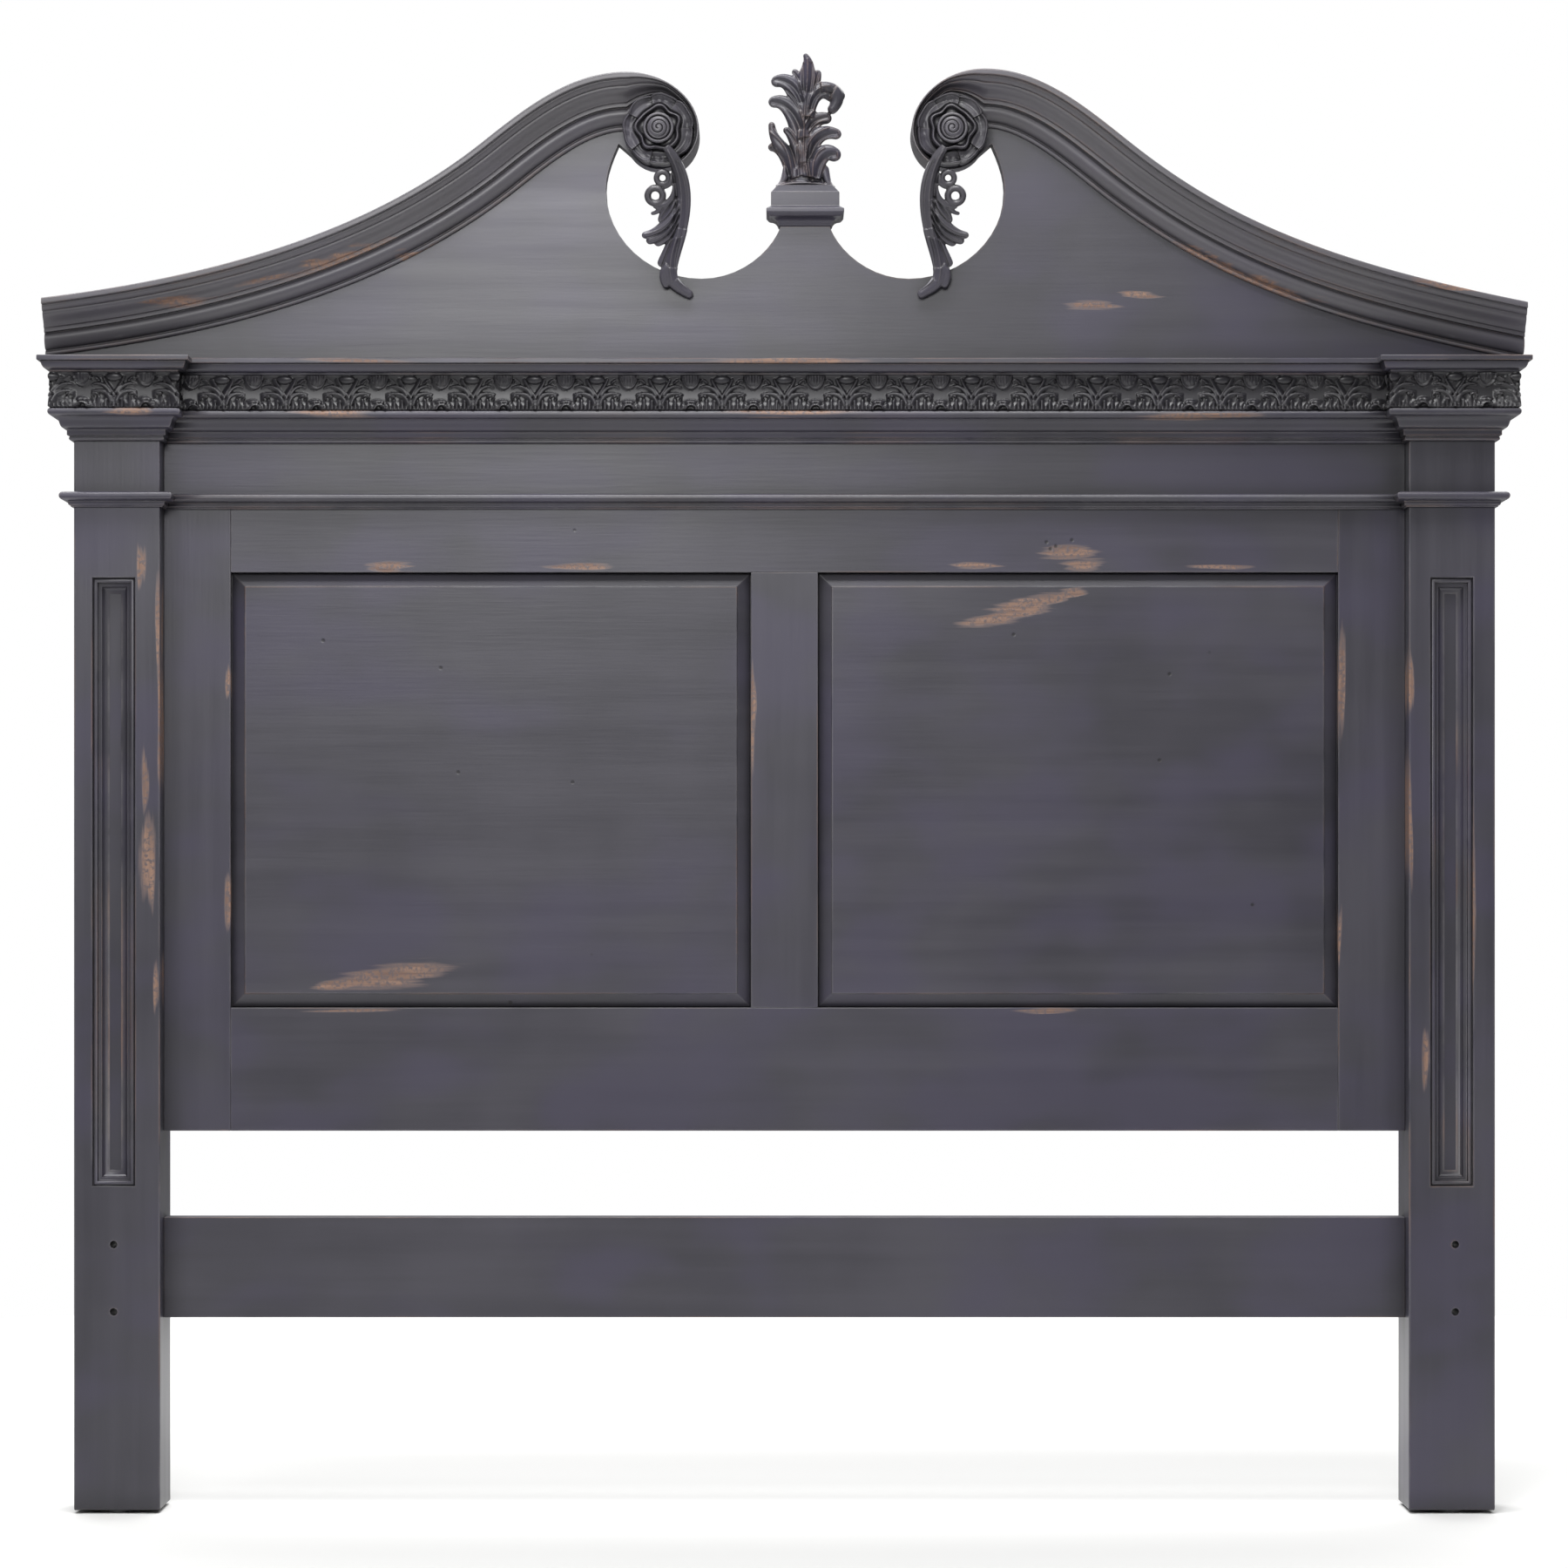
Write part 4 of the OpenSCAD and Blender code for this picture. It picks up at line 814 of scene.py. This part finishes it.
def rose_height(r, turn):
    """Height of the rose towards the viewer at r from its centre, and its outline there."""
    # outer petals: uneven, each laps over the next, dished, with a thin rolled rim and faint veins
    place = np.interp(np.degrees(turn) % 360, PETAL_EDGES, np.arange(len(PETAL_EDGES)))
    part = place % 1
    edge = 50.5 + 3.2 * np.sin(np.pi * part) ** 0.45 + 0.7 * np.sin(9 * turn)
    lap = 4.4 * (1 - part) ** 1.2
    veins = 0.35 * np.cos(14 * part + 3 * np.sin(4 * turn)) * smooth_step(r, 37, 44)
    roll = 2.4 * np.exp(-((r - edge + 2.4) / 1.7) ** 2)
    dish = -1.8 * np.exp(-((r - 42.5) / 4.5) ** 2)
    height = 4.0 + lap + veins + roll + dish
    # inner petals: one ruffled cup with a thick rolled rim over a deep valley
    rim = 33.2 + 2.1 * np.sin(5 * turn + 0.4) + 1.3 * np.sin(7 * turn + 1.9) + 0.9 * np.sin(3 * turn + 2)
    inner = 6.5 + 8.0 * np.exp(-((r - rim + 2.6) / 3.0) ** 2) + 1.2 * np.sin(5 * turn + 0.4)
    height = np.where(r < rim, inner, height - 3.0 * np.exp(-((r - rim) / 2.6) ** 2))
    # bud: an outer ring, then a dome cut with a spiral
    ring = 13.5 + 3.2 * np.sqrt(np.clip(1 - ((r - 20.2) / 2.9) ** 2, 0, 1))
    height = np.where((r < 23.0) & (r > 16), np.maximum(ring, height), height)
    dome = 20.5 - 4.2 * (r / 17.6) ** 2
    spiral = (r / 6.2 - turn / (2 * np.pi)) % 1
    groove = 1.9 * np.exp(-((spiral - 0.5) / 0.14) ** 2) * smooth_step(r, 15.5, 12.5) * smooth_step(r, 1, 3)
    lip = 1.6 * np.exp(-((r - 17.4) / 0.9) ** 2)
    height = np.where(r < 17.4, dome - groove, height) - lip
    return height, edge


def rose(word, side):
    """A disc of rings round the centre, each point at its carved height, closed behind."""
    node = word + "_rosette"
    lo, hi = corners(node)
    cx, cz = (lo.x + hi.x) / 2, (lo.z + hi.z) / 2
    rows, columns = 96, 360
    turn = np.linspace(0, 2 * np.pi, columns, endpoint=False)
    _, edge = rose_height(np.full(columns, 40.0), turn)
    part = np.linspace(0.004, 1, rows)[:, None]
    r = part * edge[None, :]
    height, _ = rose_height(r, np.broadcast_to(turn, r.shape))
    height = height * smooth_step(edge - r, -0.5, 2.0) + 1.0
    base = face_y - 42
    y = base - height
    front = np.stack([cx + side * r * np.cos(turn), y, cz + r * np.sin(turn)], -1)
    wall = [
        np.stack([
            cx + side * k * edge * np.cos(turn), np.full(columns, yy), cz + k * edge * np.sin(turn)
        ], -1)
        for k, yy in ((0.985, base + 2), (0.93, base + 8), (0.93, face_y - 0.1))
    ]
    points = np.concatenate([front, wall], 0)
    piece = skin(node + "_rose", points, 60)
    stands_for(piece, node, carved_paint(node, 55 + side, worn=0.25))


rose("left", -1)
rose("right", 1)


# ---------- leaves ----------

def lobe(a, b, c, d, w0, w1, deep, y=0.0, swell=0.0, n=22, k=16):
    """Rings of a leaf lobe along a bezier in x and z. It tapers from half width w0 to w1, is
    deep thick at its root, stands at y and ends round."""
    line = bezier(a, b, c, d, n)
    t = np.linspace(0, 1, n + 1)
    g = np.gradient(line, axis=0)
    g /= np.linalg.norm(g, axis=1)[:, None]
    across = np.stack([-g[:, 1], g[:, 0]], 1)
    width = w0 + (w1 - w0) * t + swell * np.sin(np.pi * t)
    depth = deep / 2 * (1 - 0.35 * t)
    # round the far end off
    extra = np.array([0.95, 0.75, 0.4, 0.05])
    ahead = np.sqrt(1 - extra ** 2)
    line = np.concatenate([line, line[-1] + np.outer(ahead * w1, g[-1])])
    across = np.concatenate([across, np.repeat(across[-1:], 4, 0)])
    width = np.concatenate([width, width[-1] * extra])
    depth = np.concatenate([depth, depth[-1] * (0.4 + 0.6 * extra)])
    turn = np.linspace(0, 2 * np.pi, k, endpoint=False)
    cx = np.sign(np.cos(turn)) * np.abs(np.cos(turn)) ** 0.8
    cy = np.sign(np.sin(turn)) * np.abs(np.sin(turn)) ** 0.8
    flat = line[:, None, :] + width[:, None, None] * cx[None, :, None] * across[:, None, :]
    return np.stack([flat[..., 0], y + depth[:, None] * cy[None, :], flat[..., 1]], -1)


def rib(line, width, height, power=1.0):
    """A raised vein for carve()."""
    return np.asarray(line, float), width, height, power


def carve(piece, veins, front=-1):
    """Raises or sinks veins, drawn in x and z, on the side that faces the viewer. With front=1
    they are carved on the back."""
    def change(co, normals):
        flat = co[:, [0, 2]]
        rise = np.zeros(len(co))
        for line, width, height, power in veins:
            away, along = nearest(flat, line)
            fade = (1 - along) ** power * smooth_step(along, -0.01, 0.06)
            rise += height * fade * np.exp(-(away / width) ** 2)
        facing = smooth_step(front * normals[:, 1], 0.05, 0.5)
        co[:, 1] += front * rise * facing
        return co
    reshape(piece, change)


# Dropper, drawn as the right-hand one: x outwards from the crest, z down from its top.
# Thickness of the leaf, and the places of its top and foot
DROPPER_T = 15
DROPPER_TOP = ROSE_UP - 24
DROPPER_FOOT = 96
DROPPER_TOP_Y = face_y - 64
LEAN = math.atan2((face_y - DROPPER_T) - DROPPER_TOP_Y, DROPPER_TOP - DROPPER_FOOT)


def ring_shell(x, z, r, tube, y=0.0, n=28, k=10):
    """A torus as an open string of rings, closed by overlapping its own start."""
    turn = np.linspace(0, 2 * np.pi * 1.02, n)
    small = np.linspace(0, 2 * np.pi, k, endpoint=False)
    out = r + tube * np.cos(small)[None, :]
    return np.stack([
        x + out * np.cos(turn)[:, None], y + np.broadcast_to(1.25 * tube * np.sin(small), (n, k)),
        z + out * np.sin(turn)[:, None]
    ], -1)


def dropper(word, side):
    t = DROPPER_T
    shells = [
        # stem, and the foot that kicks back towards the crest
        lobe([207, -4], [180, -36], [177, -82], [187, -130], 6, 10, t + 3, swell=3.5),
        lobe([185, -124], [190, -148], [198, -166], [201, -190], 10, 9, t + 1),
        lobe([202, -182], [204, -202], [190, -211], [174, -221], 12, 6.5, t),
        lobe([204, -180], [212, -186], [213, -196], [208, -206], 7, 6, t),
        # tails that run into the two rings, and the tip below them
        lobe([200, -20], [191, -36], [193, -56], [208, -62], 4.8, 4.2, t - 4, -1),
        lobe([192, -58], [192, -80], [206, -92], [222, -91], 5.2, 4.6, t - 4, -1),
        ring_shell(212, -50, 9.0, 4.5, 0),
        ring_shell(223, -76, 11.2, 5.2, 0),
        lobe([215, -91], [217, -98], [221, -101], [227, -102], 4.2, 2.8, 9, 0),
        # large leaf in five folds
        lobe([184, -66], [196, -82], [209, -97], [213, -111], 8, 6.5, t - 3, 1),
        lobe([186, -82], [197, -110], [214, -130], [238, -134], 11, 5.5, t - 2, -1),
        lobe([187, -94], [198, -122], [212, -137], [231, -142], 10, 6, t - 2, 0),
        lobe([188, -104], [198, -128], [206, -139], [219, -145], 10, 6, t - 3, 0.5),
        lobe([190, -112], [197, -130], [201, -138], [207, -143], 9, 5, t - 4, 1),
        # small leaf
        lobe([196, -140], [202, -155], [209, -165], [214, -175], 9, 6.5, t - 3, 1),
    ]
    piece = fused(word + "_dropper_leaf", shells, 0.8)
    veins = [
        # the stem's ridge with a groove on each side, down to the foot
        rib(bezier([205, -8], [183, -40], [178, -86], [191, -136], 18), 1.8, 2.6, 0.2),
        rib(bezier([191, -136], [198, -158], [206, -180], [198, -204], 14), 1.8, 2.6, 0.3),
        rib(bezier([206, -22], [190, -50], [188, -84], [198, -122], 16), 2.4, -3.4, 0.1),
        rib(bezier([192, -22], [175, -52], [172, -92], [184, -136], 16), 2.4, -2.2, 0.1),
        rib(bezier([186, -136], [193, -158], [198, -178], [192, -200], 12), 2.2, -2.4, 0.2),
        rib(bezier([198, -140], [205, -160], [212, -172], [213, -182], 12), 1.6, -2.4, 0.2),
        rib(bezier([191, -198], [186, -206], [178, -210], [168, -217], 10), 1.3, 2.4, 0.1),
        # strands of the large leaf
        rib(bezier([190, -76], [202, -92], [212, -104], [216, -112], 12), 1.2, -2.2, 0.2),
        rib(bezier([188, -82], [200, -104], [214, -122], [243, -127], 16), 1.2, -2.8, 0.2),
        rib(bezier([187, -88], [197, -112], [212, -129], [243, -133], 16), 1.1, 2.0, 0.2),
        rib(bezier([187, -93], [196, -118], [210, -134], [240, -138], 16), 1.0, -2.6, 0.2),
        rib(bezier([187, -98], [196, -122], [208, -137], [235, -143], 16), 1.0, 2.0, 0.2),
        rib(bezier([187, -103], [195, -126], [206, -141], [229, -147], 16), 1.0, -2.6, 0.2),
        rib(bezier([188, -110], [195, -131], [204, -144], [221, -150], 14), 1.0, 1.8, 0.2),
        rib(bezier([189, -116], [195, -134], [202, -145], [213, -150], 14), 1.0, -2.4, 0.2),
    ]
    carve(piece, veins)

    def lay_back(co, normals):
        y, z = co[:, 1].copy(), co[:, 2].copy()
        c, s = math.cos(LEAN), math.sin(LEAN)
        co[:, 1] = np.minimum(y * c - z * s + DROPPER_TOP_Y + t / 2, face_y + 0.2 + 60 * (z > -190))
        co[:, 2] = y * s + z * c + DROPPER_TOP + crest_z
        co[:, 0] = side * co[:, 0] + crest_x
        return co

    reshape(piece, lay_back)
    finish_mesh(piece.data, 70)
    node = word + "_dropper"
    stands_for(piece, node, carved_paint(node, 60 + side, worn=0.15))


dropper("left", -1)
dropper("right", 1)


# ---------- finial ----------

def finial():
    """Acanthus: a flared base, a stem, a pointed crown and broad blades that curl out."""
    z = plinth_top

    def blade(points, *rest):
        return lobe(*([x, z + up] for x, up in points), *rest)

    def vein(points, width, height, power=0.2):
        return rib(bezier(*([x, z + up] for x, up in points), 14), width, height, power)

    shells = [
        blade([(0, -2), (0, 12), (0, 22), (0, 34)], 30, 20, 26, 1),
        blade([(-43, -2), (-20, 6), (20, 6), (41, -2)], 4, 4, 32, 0),
        blade([(-41, -2), (-32, 4), (-29, 14), (-26, 30)], 5, 7, 24, 0),
        blade([(40, -2), (33, 4), (32, 12), (29, 26)], 5, 7, 24, 0),
        blade([(0, 16), (-3, 56), (-3, 95), (1, 148)], 22, 8, 24, 1),
        # crown
        blade([(3, 126), (1, 156), (5, 172), (4, 184)], 14, 8, 18, -2, 3),
        blade([(4, 168), (6, 184), (4, 191), (1, 196)], 11, 4, 14, -2),
        blade([(0, 134), (-6, 158), (-11, 167), (-15, 172)], 11, 5, 13, 0),
        blade([(6, 132), (13, 152), (18, 162), (19, 170)], 11, 5.5, 13, 0),
        # left side, from the top
        blade([(-2, 110), (-10, 146), (-24, 163), (-42, 158)], 17, 9, 18, -2, 1),
        blade([(-4, 72), (-10, 106), (-26, 131), (-46, 127)], 17, 9, 18, -3, 1),
        blade([(-10, 14), (-26, 60), (-47, 60), (-50, 92)], 13, 5, 20, -3, 1),
        blade([(-4, 34), (-12, 64), (-20, 78), (-28, 84)], 12, 5, 20, -4),
        blade([(-16, 14), (-24, 44), (-36, 60), (-49, 60)], 13, 6.5, 18, 2),
        # right side, from the top
        blade([(2, 104), (6, 138), (22, 152), (40, 139)], 12, 12, 20, -2),
        blade([(42, 140), (50, 136), (48, 124), (41, 116)], 13, 7.5, 28, -5),
        blade([(24, 148), (36, 150), (46, 146), (52, 136)], 9, 8, 24, -4),
        blade([(2, 74), (8, 96), (18, 104), (31, 103)], 14, 9, 15, 0),
        blade([(4, 80), (8, 98), (10, 104), (14, 109)], 9, 5, 14, 1),
        blade([(0, 30), (6, 74), (24, 86), (46, 79)], 14, 8.5, 18, -3, 1),
        blade([(10, 12), (16, 46), (30, 56), (43, 48)], 14, 11, 24, -5, 1),
    ]
    piece = fused("finial_leaf_carving", shells, 1.0)
    veins = [
        # bright ribs
        vein([(-2, 12), (-3, 60), (-2, 110), (2, 150)], 1.7, 3.0),
        vein([(2, 140), (3, 160), (5, 176), (3, 192)], 1.5, 2.6),
        vein([(-1, 128), (-4, 148), (-10, 162), (-22, 171)], 1.5, 3.2),
        vein([(-2, 90), (-5, 112), (-14, 130), (-32, 143)], 1.5, 3.2),
        vein([(-20, 12), (-22, 46), (-28, 64), (-54, 82)], 1.6, 3.2),
        vein([(-7, 26), (-6, 52), (-13, 72), (-27, 87)], 1.5, 3.0),
        vein([(4, 12), (-4, 50), (2, 78), (36, 88)], 1.6, 3.2),
        vein([(12, 8), (9, 38), (15, 50), (30, 57)], 1.5, 2.6),
        vein([(4, 110), (6, 138), (16, 150), (38, 149)], 1.5, 2.6),
        vein([(0, 90), (4, 103), (8, 108), (14, 113)], 1.3, 2.2),
        # hollows between them
        vein([(-5, 122), (-11, 146), (-24, 159), (-47, 160)], 3.6, -4.6),
        vein([(-7, 110), (-14, 134), (-26, 147), (-42, 151)], 2.0, -3.0),
        vein([(-7, 82), (-13, 106), (-28, 126), (-52, 126)], 4.2, -5.0),
        vein([(-14, 24), (-16, 50), (-27, 70), (-47, 90)], 2.4, -3.6),
        vein([(-24, 14), (-28, 42), (-38, 54), (-52, 59)], 3.0, -4.0),
        vein([(-12, 60), (-15, 70), (-22, 78), (-29, 83)], 1.8, -2.4),
        vein([(8, 36), (10, 66), (26, 80), (50, 78)], 4.2, -5.0),
        vein([(17, 10), (20, 36), (30, 48), (48, 46)], 4.2, -5.0),
        vein([(8, 112), (12, 134), (22, 143), (32, 142)], 3.0, -3.6),
        vein([(4, 82), (10, 97), (18, 102), (36, 104)], 2.4, -3.4),
        vein([(6, 76), (12, 90), (20, 96), (34, 96)], 1.6, -2.4),
        vein([(-1, 140), (-4, 158), (-2, 172), (-3, 184)], 2.2, -2.8),
        vein([(7, 138), (10, 158), (12, 172), (9, 186)], 2.4, -2.8),
        vein([(-6, 136), (-9, 156), (-12, 166), (-17, 172)], 1.5, -2.2),
        vein([(11, 134), (15, 152), (18, 162), (20, 172)], 1.5, -2.2),
        vein([(-10, 12), (-11, 34), (-11, 60), (-9, 84)], 2.4, -3.0),
        vein([(8, 8), (4, 34), (4, 52), (7, 66)], 1.8, -2.6),
    ]
    carve(piece, veins)
    carve(piece, veins, front=1)

    def place(co, normals):
        co += [crest_x, mid_y, crest_z]
        co[:, 2] = np.maximum(co[:, 2], plinth_hi.z)
        return co

    reshape(piece, place)
    finish_mesh(piece.data, 70)
    stands_for(piece, "finial_leaf", carved_paint("finial_leaf", 66, bare_edges=0.5))


finial()


# ---------- stage ----------

FLOOR_RADII = (0.6, 2.0, 3.5)
FLOOR_SIDES = 64
FLOOR_COLOUR = (0.82, 0.82, 0.81, 1)


def floor():
    """A flat round floor in rings."""
    n = FLOOR_SIDES
    turns = np.linspace(0, 2 * math.pi, n, endpoint=False)
    points = [(r * math.cos(a), r * math.sin(a), 0.0) for r in FLOOR_RADII for a in turns]
    faces = [[k * n + i, k * n + (i + 1) % n, (k + 1) * n + (i + 1) % n, (k + 1) * n + i]
             for k in range(len(FLOOR_RADII) - 1) for i in range(n)]
    mesh = bpy.data.meshes.new("floor")
    mesh.from_pydata(points, [], [*faces, list(range(n))])
    plane = linked("floor", mesh)
    material = bpy.data.materials.new("pale_floor")
    material.use_nodes = True
    shader = material.node_tree.nodes["Principled BSDF"]
    shader.inputs["Base Color"].default_value = FLOOR_COLOUR
    shader.inputs["Roughness"].default_value = 0.75
    mesh.materials.append(material)


def area_light(name, place, target, size, watts):
    light = bpy.data.lights.new(name, "AREA")
    light.shape = "RECTANGLE"
    light.size, light.size_y = size
    light.energy = watts
    lamp = bpy.data.objects.new(name, light)
    lamp.location = place
    lamp.rotation_euler = (Vector(target) - Vector(place)).to_track_quat("-Z", "Y").to_euler()
    bpy.context.scene.collection.objects.link(lamp)


def world_light(strength):
    """A dim even light on the object, in front of a white backdrop."""
    world = bpy.data.worlds.new("studio")
    bpy.context.scene.world = world
    world.use_nodes = True
    tree = world.node_tree
    dim = tree.nodes["Background"]
    dim.inputs["Color"].default_value = (1, 1, 1, 1)
    dim.inputs["Strength"].default_value = strength
    backdrop = add(tree, "Background")
    backdrop.inputs["Color"].default_value = (1, 1, 1, 1)
    mix = add(tree, "MixShader", {0: add(tree, "LightPath").outputs["Is Camera Ray"]})
    put(tree, mix.inputs[1], dim.outputs[0])
    put(tree, mix.inputs[2], backdrop.outputs[0])
    put(tree, tree.nodes["World Output"].inputs["Surface"], mix.outputs[0])


floor()
world_light(0.18)
# name, place, what it points at, size, power; glow reflects in the left of the pediment
area_light("key", (-0.4, -1.5, 5.4), (0, -0.1, 1.2), (3.6, 1.4), 240)
area_light("front", (-0.5, -5.5, 3.5), (0, 0, 1.3), (2.4, 1.4), 85)
area_light("glow", (-0.7, -4.4, 2.5), (-0.42, 0, 1.86), (0.8, 0.8), 36)
area_light("back", (0, 4.0, 5.0), (0, 3.2, 0), (9, 6), 560)

# The camera stands 6.6 m in front, level, at 0.905 m, with the lens shifted up
camera = bpy.data.cameras.new("camera")
camera.lens = 101.5
camera.shift_x = 0.004
camera.shift_y = 0.077
eye = bpy.data.objects.new("camera", camera)
eye.location = (-0.010, -6.6025, 0.905)
eye.rotation_euler = (math.radians(90), 0, 0)
bpy.context.scene.collection.objects.link(eye)
bpy.context.scene.camera = eye
bpy.context.scene.view_settings.view_transform = "Standard"
